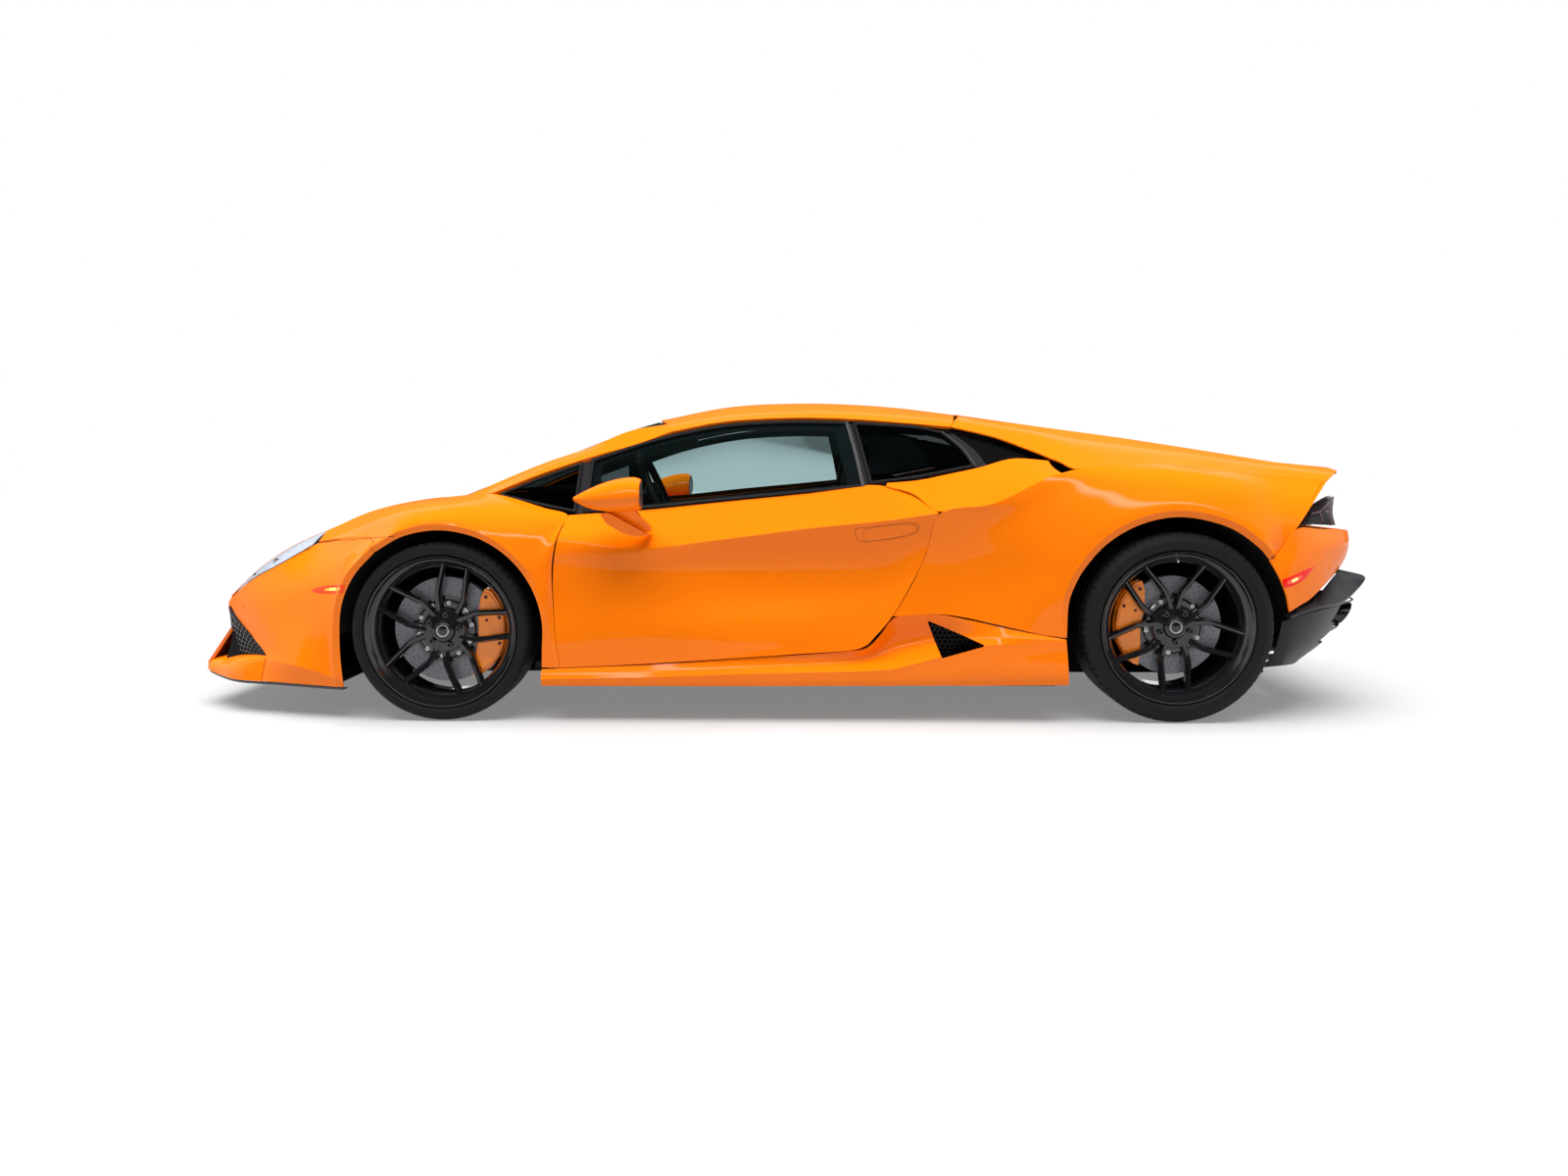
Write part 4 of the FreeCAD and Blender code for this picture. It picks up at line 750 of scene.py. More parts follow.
SILL = [
    [P(360, -900, 126), P(360, -946, 130), P(360, -956, 154), P(360, -948, 172), P(360, -938, 187)],
    [P(750, -900, 127), P(750, -948, 131), P(750, -958, 163), P(750, -946, 184), P(750, -934, 205)],
    [P(1122, -900, 128), P(1122, -948, 132), P(1122, -958, 176), P(1122, -938, 202), P(1122, -932, 230)],
    [P(1450, -900, 129), P(1450, -948, 134), P(1450, -958, 184), P(1450, -920, 218), P(1450, -926, 252)],
    [P(1525, -900, 130), P(1525, -948, 134), P(1525, -959, 187), P(1524, -905, 228), P(1526, -922, 264)],
    [P(1572, -900, 130), P(1572, -948, 134), P(1572, -959, 190), P(1570, -890, 242), P(1576, -919, 312)],
    [P(1621, -900, 130), P(1621, -948, 135), P(1621, -959, 195), P(1618, -880, 266), P(1622, -915, 372)],
    [P(1783, -900, 131), P(1783, -950, 137), P(1783, -960, 238), P(1775, -890, 300), P(1755, -914, 384)],
    [P(1918, -900, 132), P(1918, -952, 138), P(1918, -961, 274), P(1905, -930, 305), P(1880, -922, 366)],
    [P(2060, -900, 133), P(2060, -954, 140), P(2030, -961, 285), P(2035, -955, 308), P(2038, -938, 334)],
    [P(2236, -900, 134), P(2236, -956, 142), P(2224, -961, 290), P(2223, -961, 296), P(2222, -960, 301)],
]
FENDER_R = [
    [P(2226, -957, 309), P(2120, -950, 325), P(2000, -938, 351), P(1800, -916, 388), P(1616, -918, 383)],
    [AR(165), P(2150, -950, 450), P(2020, -925, 480), P(1850, -908, 500), P(1678, -907, 478)],
    [AR(156), P(2190, -951, 515), P(2065, -928, 555), P(1898, -909, 590), P(1737, -905, 606)],
    [AR(148), P(2225, -952, 580), P(2110, -932, 630), P(1940, -915, 680), P(1781, -928, 742)],
    [AR(130), P(2330, -952, 680), P(2250, -930, 735), P(2110, -915, 768), P(1962, -925, 778)],
    [AR(110), P(2465, -950, 755), P(2400, -915, 820), P(2310, -890, 860), P(2210, -880, 886)],
    [AR(90), P(2620, -948, 785), P(2600, -905, 850), P(2570, -850, 893), P(2530, -782, 920)],
    [AR(65), P(2805, -946, 745), P(2825, -900, 815), P(2835, -840, 860), P(2840, -762, 890)],
    [AR(47), P(2930, -940, 665), P(2965, -890, 740), P(3000, -820, 808), P(3030, -724, 871)],
    [AR(39, -952), P(2960, -925, 600), P(3045, -885, 692), P(3120, -825, 775), P(3203, -732, 856)],
]
FRN = []
for k, c in enumerate(FENDER_R):
    deg = [None, 165, 156, 148, 130, 110, 90, 65, 47, 39][k]
    if deg is None:
        FRN.append([P(2226, -949, 305), P(2203, -956, 308)] + [(q[0], q[1], q[2] - 0.0045) for q in c[1:]])
    else:
        FRN.append([AR(deg, -944 if k < 9 else -940), AR(deg, -957 if k < 9 else -948, 424)] + c[1:])
SHO = [
    [P(1592, -838, 838), P(1594, -832, 845), P(1596, -826, 850)],
    [P(1684, -862, 813), P(1696, -835, 835), P(1710, -810, 860)],
    [P(1778, -926, 749), P(1790, -860, 815), P(1800, -795, 878)],
    [P(1960, -924, 782), P(1945, -850, 845), P(1930, -772, 905)],
    [P(2098, -904, 828), P(2080, -828, 882), P(2062, -728, 938)],
    [P(2195, -884, 884), P(2190, -815, 905), P(2190, -738, 930)],
]
BUT = [
    [P(1850, -560, 1058), P(1870, -505, 1083), P(1894, -440, 1102)],
    [P(2008, -622, 1018), P(2010, -525, 1062), P(2012, -432, 1086)],
    [P(2142, -692, 964), P(2147, -565, 1030), P(2152, -432, 1068)],
    [P(2262, -810, 916), P(2280, -640, 995), P(2290, -442, 1050)],
    [P(2530, -776, 926), P(2520, -640, 975), P(2500, -472, 1019)],
    [P(2840, -757, 895), P(2815, -645, 942), P(2780, -512, 974)],
    [P(3030, -720, 876), P(3045, -650, 905), P(3060, -562, 927)],
    [P(3207, -726, 862), P(3250, -672, 882), P(3288, -602, 893)],
]
INT = [
    [P(1832, -566, 1040), P(1870, -660, 980), P(1930, -760, 914)],
    [P(1990, -600, 1010), P(2010, -670, 965), P(2020, -742, 915)],
    [P(2120, -665, 958), P(2125, -700, 940), P(2130, -735, 915)],
]
ELID = [
    [P(1898, -434, 1104), P(1900, -220, 1116), P(1902, 0, 1120)],
    [P(2152, -426, 1069), P(2152, -220, 1080), P(2152, 0, 1084)],
    [P(2500, -466, 1020), P(2500, -230, 1030), P(2500, 0, 1034)],
    [P(2780, -506, 975), P(2780, -250, 985), P(2780, 0, 989)],
    [P(3050, -554, 929), P(3050, -275, 940), P(3050, 0, 944)],
]
SPO = [
    [P(3056, -556, 927), P(3056, -275, 938), P(3056, 0, 942)],
    [P(3180, -580, 909), P(3200, -290, 922), P(3210, 0, 925)],
    [P(3292, -598, 894), P(3362, -300, 906), P(3385, 0, 908)],
]
BUMP_R = [
    [P(3015, -925, 396), P(2996, -936, 460), P(2962, -944, 530), AR(39, -946, 399)],
    [P(3055, -900, 413), P(3038, -914, 479), P(3000, -928, 556), P(2957, -930, 597)],
    [P(3082, -882, 424), P(3072, -894, 494), P(3046, -906, 578), P(3001, -908, 643)],
    [P(3105, -868, 434), P(3100, -876, 510), P(3085, -882, 600), P(3043, -886, 688)],
    [P(3190, -795, 486), P(3192, -800, 560), P(3190, -800, 630), P(3165, -796, 684)],
    [P(3270, -680, 518), P(3295, -680, 570), P(3305, -680, 625), P(3295, -678, 674)],
    [P(3350, -500, 520), P(3372, -500, 570), P(3380, -500, 625), P(3374, -500, 668)],
    [P(3385, -250, 521), P(3402, -250, 570), P(3410, -250, 625), P(3402, -250, 665)],
    [P(3395, 0, 522), P(3412, 0, 570), P(3418, 0, 625), P(3408, 0, 664)],
]
TAILP = [
    [P(3058, -862, 700), P(3100, -800, 770), P(3146, -722, 826)],
    [P(3150, -752, 692), P(3156, -730, 776), P(3168, -680, 846)],
    [P(3222, -600, 684), P(3218, -590, 780), P(3212, -570, 866)],
    [P(3290, -300, 678), P(3285, -300, 780), P(3280, -300, 874)],
    [P(3305, 0, 676), P(3300, 0, 780), P(3292, 0, 876)],
]
TL = [
    [P(3100, -836, 702), P(3112, -818, 736), P(3125, -802, 768)],
    [P(3170, -752, 696), P(3184, -748, 742), P(3204, -748, 792)],
    [P(3278, -640, 690), P(3262, -650, 736), P(3254, -676, 800)],
]
LEDGE = [
    [P(3018, -890, 392), P(3029, -910, 383)],
    [P(3130, -812, 418), P(3143, -852, 408)],
    [P(3224, -704, 468), P(3240, -776, 413)],
    [P(3278, -640, 500), P(3302, -702, 420)],
    [P(3314, -596, 517), P(3385, -606, 452)],
    [P(3338, -530, 514), P(3441, -536, 486)],
    [P(3392, -260, 512), P(3444, -260, 492)],
    [P(3400, 0, 512), P(3444, 0, 492)],
]
DIFF = [
    [P(2952, -846, 186), P(2984, -868, 246), P(2998, -876, 308), P(3006, -880, 358)],
    [P(3008, -872, 196), P(3020, -880, 258), P(3026, -882, 318), P(3028, -884, 366)],
    [P(3085, -788, 190), P(3115, -820, 262), P(3130, -833, 332), P(3135, -840, 390)],
    [P(3140, -680, 184), P(3208, -716, 260), P(3232, -740, 334), P(3238, -756, 396)],
    [P(3178, -596, 180), P(3268, -628, 266), P(3306, -646, 342), P(3312, -664, 402)],
    [P(3208, -500, 170), P(3326, -500, 266), P(3386, -500, 342), P(3414, -500, 402)],
    [P(3214, -250, 166), P(3332, -250, 266), P(3392, -250, 342), P(3420, -250, 402)],
    [P(3214, 0, 166), P(3332, 0, 266), P(3392, 0, 342), P(3420, 0, 402)],
]

# ---------------------------------------------------------------- front wings, bumper, nose, lip
for k in range(4, 9):
    FEN[k][-1] = (FEN[k][-1][0] + 0.0025, FEN[k][-1][1], FEN[k][-1][2])
G_FF = surf(FEN, 74, 28, (0.4, 0.6, 0, 0.4), vb=(1, 5))
p_ff = shell(G_FF, 5, (AXF, -0.5, 0.3), mi=1)
obj("front_wings", mboth([p_ff]), [PAINT, INNER], "chassis", ["front_fenders"], bevel=1.3)

G_BF = surf(BUMP_F, 60, 36, (0, 0, 0, 0.4), ub=(7,), vb=(1,))
p_bf = shell(G_BF, 6, (AXF, 0, 0.3), mi=1)
G_NO = surf(NOSE, 40, 8, full="u")
p_no = shell(G_NO, 16, (AXF, 0, 0.3))
LIP = LIP[::-1]
G_LI = surf(LIP, 90, 14, full="u", ub=(2, 8))
p_li = shell(G_LI, 10, (AXF + 0.3, 0, 0.15), mi=1)
BLADE = [
    [P(-1001, -592, 158), P(-955, -594, 222), P(-906, -596, 291)],
    [P(-1008, -520, 158), P(-970, -520, 218), P(-930, -520, 285)],
    [P(-1011, -420, 156), P(-985, -420, 205), P(-958, -420, 262)],
    [P(-1013, -260, 154), P(-1000, -260, 180), P(-988, -260, 212)],
    [P(-1014, -110, 152), P(-1010, -110, 163), P(-1006, -110, 176)],
]
p_bl = shell(surf(BLADE, 30, 10), 12, (AXF, -0.4, 0.1))
chin = loft([[P(-1012, y, 152), P(-1008, y, 330), P(-975, y, 330), P(-965, y, 152)] for y in (-52, -30, 30, 52)])
o_bump = obj("front_bumper_shell", mboth([p_bf, p_bl]) + [p_no, p_li, chin], [PAINT, INNER], "chassis", ["front_bumper"], bevel=1.6)

lipline = surf(LIP, 90, 4, full="u")[:, 0]
sp_out = lipline + np.array([0.004, 0, -0.002])
sp = np.stack([sp_out, sp_out + np.array([0.003, 0, -0.009]), sp_out + np.array([0.05, 0, -0.011])], 1)
sp[:, 1:, 1] *= 0.997
side_lo = line([P(-703, -812, 119), P(-620, -842, 119), P(-540, -868, 118), P(-470, -890, 117), P(-405, -910, 116), P(-362, -920, 116)], 20)
sp2 = np.stack([side_lo, side_lo + np.array([0, 0.003, -0.009]), side_lo + np.array([0, 0.05, -0.010])], 1)
FLOORF = [(-1000, -560), (-925, -660), (-815, -762), (-700, -806), (-540, -856), (-380, -905), (-380, 905), (-540, 856), (-700, 806), (-815, 762), (-925, 660), (-1000, 560)]
fl = loft([[P(x, y, 127) for x, y in FLOORF], [P(x, y, 131) for x, y in FLOORF]])
fl = (fl[0], [f for f in fl[1]], [0] * len(fl[1]))
obj("front_splitter", [shell(sp, 3, (AXF, 0, 0.3))] + mboth([shell(sp2, 3, (AXF, 0, 0.3))]) + [fl], [SATIN], "chassis", bevel=0.6, fix=True)


# ---------------------------------------------------------------- hexagon mesh on a surface
def hexmesh(G, toward, cell=0.024, wire=0.003, depth=4.0, off=0.0, m=0, keep=None):
    """Open hexagon net laid on grid G, as bars with depth."""
    N, sg = side_of(G, toward)
    cu = np.linalg.norm(np.diff(G, axis=0), axis=2).mean(1).sum()
    cv = np.linalg.norm(np.diff(G, axis=1), axis=2).mean(0).sum()
    out_v, out_f = [], []
    base = 0
    w = cell
    h = cell * math.sqrt(3) / 2
    a = np.radians(np.arange(6) * 60)
    hx = np.stack([np.cos(a), np.sin(a)], 1)
    R1 = cell / math.sqrt(3) * 1.0
    R0 = R1 - wire
    rows = int(cv / h) + 2
    colsn = int(cu / (w)) + 2
    for r in range(rows):
        for c in range(colsn):
            cx = c * w + (w / 2 if r % 2 else 0)
            cy = r * h
            ang = a + math.pi / 6
            o = np.stack([cx + (R1 + wire * 0.5) * np.cos(ang), cy + (R1 + wire * 0.5) * np.sin(ang)], 1)
            i = np.stack([cx + R0 * np.cos(ang), cy + R0 * np.sin(ang)], 1)
            if (i[:, 0].max() < 0.002 or i[:, 0].min() > cu - 0.002 or i[:, 1].max() < 0.002 or i[:, 1].min() > cv - 0.002):
                continue
            q = np.concatenate([o, i])
            u = np.clip(q[:, 0] / cu, 0, 1)
            v = np.clip(q[:, 1] / cv, 0, 1)
            p = samp(G, u, v)
            if keep is not None and not keep(p.mean(0)):
                continue
            n = samp(N, u, v)
            top = p + n * sg * off * MM
            bot = p + n * sg * (off + depth) * MM
            out_v.append(np.concatenate([top, bot]))
            for k in range(6):
                k2 = (k + 1) % 6
                out_f.append((base + k, base + k2, base + 6 + k2, base + 6 + k))
                out_f.append((base + 6 + k, base + 6 + k2, base + 18 + k2, base + 18 + k))
            base += 24
    return (np.concatenate(out_v), out_f, [m] * len(out_f))


FG = [
    [P(-962, -60, 168), P(-968, -60, 318)],
    [P(-955, -300, 176), P(-962, -300, 340)],
    [P(-918, -540, 190), P(-925, -560, 372)],
    [P(-880, -612, 200), P(-884, -620, 352)],
    [P(-790, -700, 206), P(-800, -700, 296)],
    [P(-704, -768, 208), P(-706, -766, 236)],
]
G_FG = surf(FG, 40, 10)
gp = mboth([hexmesh(G_FG, (AXF, 0, 0.25), 0.026, 0.0032, 5.0)])
# Sheet behind the front grille mesh in the near-black material: painted shade inside the intake.
gp += mboth([shell(G_FG, 4, (AXF, 0, 0.25), off=26, m=1)])
FIN = [at_y(240, 640.7, -618), at_y(231.5, 671.3, -640), at_y(249.3, 680, -668), at_y(262, 668, -660), at_y(252, 648, -632)]
finv = [np.array(FIN), np.array(FIN) + np.array([0.035, 0.03, 0.0])]
gp += mboth([loft(finv, 2)])
STRIP = [at_y(231, 672.5, -641), at_y(250, 678.6, -669), at_y(247, 682.5, -668), at_y(233, 677.5, -645)]
gp += mboth([loft([np.array(STRIP) - np.array([0, 0.003, 0]), np.array(STRIP) + np.array([0.03, 0.02, 0])], 3)])

# quarter intake, side intake and tail meshes; the quarter intake panel and the sheets behind the meshes are near-black
# painted shade
G_QI = surf(INT, 30, 20, (0, 0, 0, 0))
qi = shell(G_QI, 8, (AXF + 1.5, 0, 0.8), off=10, m=1)
G_SI = surf([[P(1715, -868, 218), P(1715, -868, 372)], [P(1950, -868, 218), P(1950, -868, 372)]], 14, 10)
gp += mboth([qi, hexmesh(G_SI, (AXF + 1.8, 0, 0.3), 0.018, 0.0024, 5.0), shell(G_SI, 4, (AXF + 1.8, 0, 0.3), off=24, m=1)])
G_TP = surf(TAILP, 70, 16, full="u")
gp += [hexmesh(nip(G_TP, (8, 8, 6, 12)), (AXR + 0.2, 0, 0.7), 0.026, 0.0032, 5.0, off=18), shell(nip(G_TP, (6, 6, 6, 10)), 6, (AXR + 0.2, 0, 0.7), off=34, m=1)]
obj("mesh_grilles", gp, [MESHB, PAINTED_SHADE_BLACK, BLACKG, GREY_TRIM_AND_HIGHLIGHT], "chassis", ["grilles"], sharp=30)

# ---------------------------------------------------------------- front lid, headlights
G_LD = surf(LID, 60, 60, (2.5, 2.5, 3, 3), full="v")
x = (G_LD[..., 0] - AXF) * 1000
y = np.abs(G_LD[..., 1]) * 1000
ridge = np.exp(-((y - (330 - 0.22 * (x + 900) * 0.5)) / 38.0) ** 2) * np.clip((x + 930) / 250.0, 0, 1) * np.clip((-20 - x) / 200.0, 0, 1)
G_LD[..., 2] += ridge * 0.006
obj("front_lid_panel", [shell(G_LD, 7, (AXF, 0, 0.2), mi=1)], [PAINT, INNER], "front_lid_body", ["front_lid"], bevel=1.3)

G_HL = surf(HL, 34, 14, (3, 2, 3, 2))
hl = [shell(G_HL, 2.5, (AXF, -0.3, 0.3), m=0)]
N_HL, s_HL = side_of(G_HL, (AXF, -0.3, 0.3))
B_HL = G_HL + N_HL * s_HL * 0.034
hl += [shell(nip(B_HL, (4, 4, 4, 4)), 3, (AXF, -0.3, 0.3), m=1)]
for (u0, u1, v0) in ((0.06, 0.94, 0.10), (0.06, 0.94, 0.90)):
    uu = np.linspace(u0, u1, 20)
    vv = np.full(20, v0)
    a = samp(G_HL, uu, vv) + samp(N_HL, uu, vv) * s_HL * 0.004
    b = samp(G_HL, uu, vv) + samp(N_HL, uu, vv) * s_HL * 0.034
    hl.append(shell(np.stack([a, b], 1), 2, tuple(B_HL[17, 7]), m=2))
for u in (0.24, 0.52):
    c = samp(G_HL, np.array([u]), np.array([0.5]))[0]
    n = samp(N_HL, np.array([u]), np.array([0.5]))[0] * s_HL
    ax = np.array([-0.86, -0.45, 0.25])
    ax /= np.linalg.norm(ax)
    hl.append(rod(c + n * 0.032, c + n * 0.016 + ax * 0.006, 0.022, 28, 2))
    hl.append(ball(tuple(c + n * 0.017 + ax * 0.005), 0.018, 0.018, 0.018, 20, 12, 3))
for (pa, pb, pc) in (((0.10, 0.22), (0.38, 0.30), (0.62, 0.75)), ((0.40, 0.80), (0.52, 0.45), (0.86, 0.40))):
    q = line([samp(G_HL, np.array([a_[0]]), np.array([a_[1]]))[0] + samp(N_HL, np.array([a_[0]]), np.array([a_[1]]))[0] * s_HL * 0.014 for a_ in (pa, pb, pc)], 16)
    hl.append(tube(q, 0.0035, 8, 4))
obj("headlamps", mboth(hl), [LAMPG, LAMPB, LAMPD, STEEL, LED], "chassis", ["headlights"], sharp=35)

# ---------------------------------------------------------------- roof, pillars, glass
APL[-1] = [P(799, -600, 1041), P(779, -530, 1066), P(771, -516, 1069)]
G_AP = surf(APL, 34, 12, (0, 0, 0, 0))
G_RF = surf(ROOF, 44, 60, (0.2, 0.5, 0, 0), full="v")
rp = [shell(G_RF, 12, mi=1)] + mboth([shell(G_AP, 16, (AXF + 1.2, 0, 0.6), mi=1)])
for yb in (-0.5, 0.5):
    pass
obj("roof_shell", rp, [PAINT, HEADL], "chassis", ["roof_panel"], bevel=1.3)


def bord(G, w, out, t, toward, m=0):
    """Frame round a glass grid. w: widths in mm at first column, last column, row start, row end."""
    N, sg = side_of(G, toward)
    H = G - N * sg * out * MM
    ps = []

    def inset(lines, d):
        A = lines
        seg = np.linalg.norm(np.diff(A, axis=1), axis=2)
        cum = np.concatenate([np.zeros((len(A), 1)), np.cumsum(seg, axis=1)], 1)
        res = []
        for f in (0.0, 0.5, 1.0):
            r = []
            for a, c in zip(A, cum):
                s = min(d * MM * f, c[-1] * 0.48)
                r.append([np.interp(s, c, a[:, q]) for q in range(3)])
            res.append(r)
        return np.array(res).transpose(1, 0, 2)

    T = H.transpose(1, 0, 2)
    for wd, lines in ((w[0], T), (w[1], T[:, ::-1]), (w[2], H), (w[3], H[:, ::-1])):
        if wd:
            S = inset(lines, wd)
            ps.append(shell(S, t, toward, m=m))
    return ps


G_WS = surf(WS, 36, 50, (2, 3, 2, 2), full="v")
G_FQ = surf(FQ, 26, 14, (2, 6, 5, 4))
G_RQ = surf(RQ, 30, 16, (3, 1, 3, 3))
IN1 = (AXF + 1.2, 0, 0.6)
gl = [shell(G_WS, 4, IN1, off=2, m=0)]
gl += mboth([shell(G_FQ, 4, (AXF + 0.5, 0, 0.8), off=3, m=2), shell(G_RQ, 4, (AXF + 1.3, 0, 0.7), off=4, m=2)])
fr = bord(G_WS, (34, 60, 26, 26), -4, 3, IN1, 3)
fr += mboth(bord(G_FQ, (3, 9, 9, 9), 0.5, 8, (AXF + 0.5, 0, 0.8), 3))
fr += mboth(bord(G_RQ, (9, 7, 10, 14), 0.5, 10, (AXF + 1.3, 0, 0.7), 3))
G_DG0 = surf(DG, 60, 20)
DK = (AXF + 1.1, 0, 0.7)


def inboard(A, d):
    A = np.array(A, float)
    v = np.array([0, 0, 0.55]) - A * np.array([0, 1, 1])
    v[:, 0] = 0
    return A + v / np.linalg.norm(v, axis=1, keepdims=True) * d * MM


def strip(a, b, n=20):
    a = line(a, n)
    b = line(b, n)
    m_ = min(len(a), len(b))
    return np.stack([a[:m_], (a[:m_] + b[:m_]) / 2, b[:m_]], 1)


bp_ = strip(inboard(G_DG0[-1], 15)[::2] - np.array([0.020, 0, 0]), inboard(surf(RQ, 30, 16)[0], 15)[::2] + np.array([0.016, 0, 0]))
ap_ = strip(inboard(surf(FQ, 26, 14)[-1], 13)[::2] - np.array([0.012, 0, 0]), inboard(G_DG0[0], 13)[::2] + np.array([0.016, 0, 0]))
fr += mboth([shell(bp_, 4, DK, m=5), shell(ap_, 4, DK, m=5)])
foot = strip([P(1490, -806, 842), P(1560, -810, 850), P(1640, -806, 856), P(1730, -796, 866)], [P(1490, -800, 800), P(1560, -804, 800), P(1640, -800, 800), P(1730, -790, 800)])
fr += mboth([shell(foot, 4, DK, m=5)])
rq_ = inboard(surf(RQ, 30, 16)[-1], 15)[::2]
fr += mboth([shell(strip(rq_ + np.array([-0.018, 0, 0.002]), rq_ + np.array([0.050, 0, 0.0])), 3, DK, m=5)])
# Grey tube along the rear edge of the quarter glass: a painted highlight line.
edge = G_RQ[-1] + np.array([0.002, -0.001, 0.001])
fr += mboth([tube(line(edge[::2], 30), 0.0032, 8, 4)])
obj("fixed_windows", gl + fr, [GLASSS, GLASSW, GLASSR, FRAMEB, GREY_TRIM_AND_HIGHLIGHT, INNER], "chassis", ["fixed_glass"], sharp=35)

# ---------------------------------------------------------------- doors
soft = ([0.0, 0.12, 0.34, 0.5, 1.0], [0.15, 0.2, 0.6, 1.0, 1.0])
G_DR = surf(DOOR, 70, 64, (0.5, 0.2, 0.0, 1.0), vb=(4,), soft=soft)


def sstep(a, b, v):
    t = np.clip((v - a) / (b - a), 0, 1)
    return t * t * (3 - 2 * t)


nd = len(G_DR) - 1.0
ii = np.linspace(0, 18, len(G_DR))[:, None]
zz = G_DR[..., 2] * 1000
front = (1 - sstep(0, 3, ii)) * sstep(430, 560, zz)
rear = sstep(14, 18, ii) * sstep(600, 700, zz)
dep = 88.0 * (1 - np.maximum(front, rear)) + 8.0 * np.maximum(front, rear)
G_DI = G_DR.copy()
G_DI[..., 0] += (4.0 - 22.0 * ii / 18.0) * MM
G_DI[..., 1] += dep * MM
p_dr = between(G_DR, G_DI, side_of(G_DR, (0, 0, 0.45))[1] > 0, 0, 1)
T_DR = bvh([p_dr])
card = []
arm = [[P(620 + k, -792 + s, 520 + h) for s, h in ((0, 0), (58, 4), (62, 34), (0, 40))] for k in (0, 60, 420, 560)]
arm[0] = [lerp(q, (q[0], -0.80, q[2]), 0.5) for q in arm[0]]
card.append(loft(arm, 1))
card.append(loft([[P(560 + k, -806, z) for k, z in ((0, 250), (620, 250), (640, 400), (-20, 400))], [P(570 + k, -786, z) for k, z in ((0, 262), (600, 262), (620, 388), (-10, 388))]], 1))

# glass with frame, divider bar and belt seal
G_DG = surf(DG, 60, 20, (4, 4, 2, 7))
dgl = [shell(G_DG, 4, (AXF + 1.1, 0, 0.7), off=4, m=2)]
dfr = bord(G_DG, (13, 0, 9, 0), 1.5, 8, (AXF + 1.1, 0, 0.7), 5)
dfr += bord(G_DG, (0, 12, 0, 0), 1.5, 8, (AXF + 1.1, 0, 0.7), 4)
dfr += bord(G_DG, (0, 0, 0, 12), 1.5, 8, (AXF + 1.1, 0, 0.7), 5)
dfr += bord(G_DG, (46, 60, 22, 34), -9, 3, (AXF + 1.1, 0, 0.7), 3)
bl0 = inboard(G_DG0[:, 0], 9)
dfr.append(shell(np.stack([bl0 + np.array([0, 0, 0.012]), bl0 + np.array([0, 0, -0.008]), bl0 + np.array([0, -0.002, -0.030])], 1), 4, (AXF + 1.1, 0, 0.7), m=3))
hand = [(872, 541), (875.5, 551.5), (883, 552.6), (930, 545.5), (936.5, 541.5), (937, 536), (931, 533.6), (884, 538.2), (875, 539)]
hl_ = draw(T_DR, hand, 60, 0.1, closed=True)
hand2 = [(882, 540.5), (881, 545.5), (884, 551.2), (929, 544.3), (935, 540.7), (935.5, 536.8), (930, 535), (888, 539)]
hl2 = draw(T_DR, hand2, 60, 0.1, closed=True)
hnd = [tube(hl_, 0.0008, 6, 4, closed=False), tube(hl2, 0.0006, 6, 4, closed=False)]
# mirror
MSEC = [
    (500, (-1012, -1030), (782, 796)),
]
mh = [
    [P(498, -1020, 792), P(499, -1034, 792), P(500, -1040, 797), P(500, -1032, 803), P(499, -1020, 803), P(498, -1010, 797)],
    [P(545, -975, 774), P(545, -1045, 772), P(547, -1062, 796), P(549, -1045, 822), P(548, -985, 828), P(546, -958, 800)],
    [P(600, -945, 764), P(600, -1058, 764), P(603, -1080, 798), P(605, -1058, 838), P(604, -965, 850), P(601, -932, 802)],
    [P(660, -935, 760), P(660, -1066, 764), P(664, -1090, 800), P(666, -1068, 848), P(664, -955, 864), P(661, -924, 806)],
    [P(706, -932, 762), P(708, -1066, 768), P(712, -1091, 802), P(712, -1070, 850), P(708, -952, 866), P(704, -922, 808)],
    [P(726, -936, 768), P(730, -1062, 774), P(733, -1083, 804), P(732, -1064, 844), P(728, -956, 860), P(724, -926, 810)],
]
mhs = []
A = np.array(mh)
sm = places(cumlen(A), 22, ())
A2 = along(A, sm[0], sm[1])
B = A2.transpose(1, 0, 2)
B = np.concatenate([B, B[:1]], 0)
sc = places(cumlen(B), 30, ())
B2 = along(np.concatenate([B[-2:-1], B, B[1:2]], 0), np.clip(sc[0] + 1, 1, 6), sc[1])
secs = B2.transpose(1, 0, 2)[:, :-1]
mhs.append(loft(list(secs), 0))
c = secs[-1].mean(0)
inner = c + (secs[-1] - c) * 0.86
mhs.append(loft([inner + np.array([0.0012, 0, 0]), inner + np.array([0.002, 0, 0])], 5))
def slab(pts, dy, m=0):
    """Block from an outline given in photo pixels with its own y in mm, dy mm thick toward the car."""
    a_ = [at_y(px, py, yy) for px, py, yy in pts]
    return loft([a_, [q_ + np.array([0, dy * MM, 0]) for q_ in a_]], m)


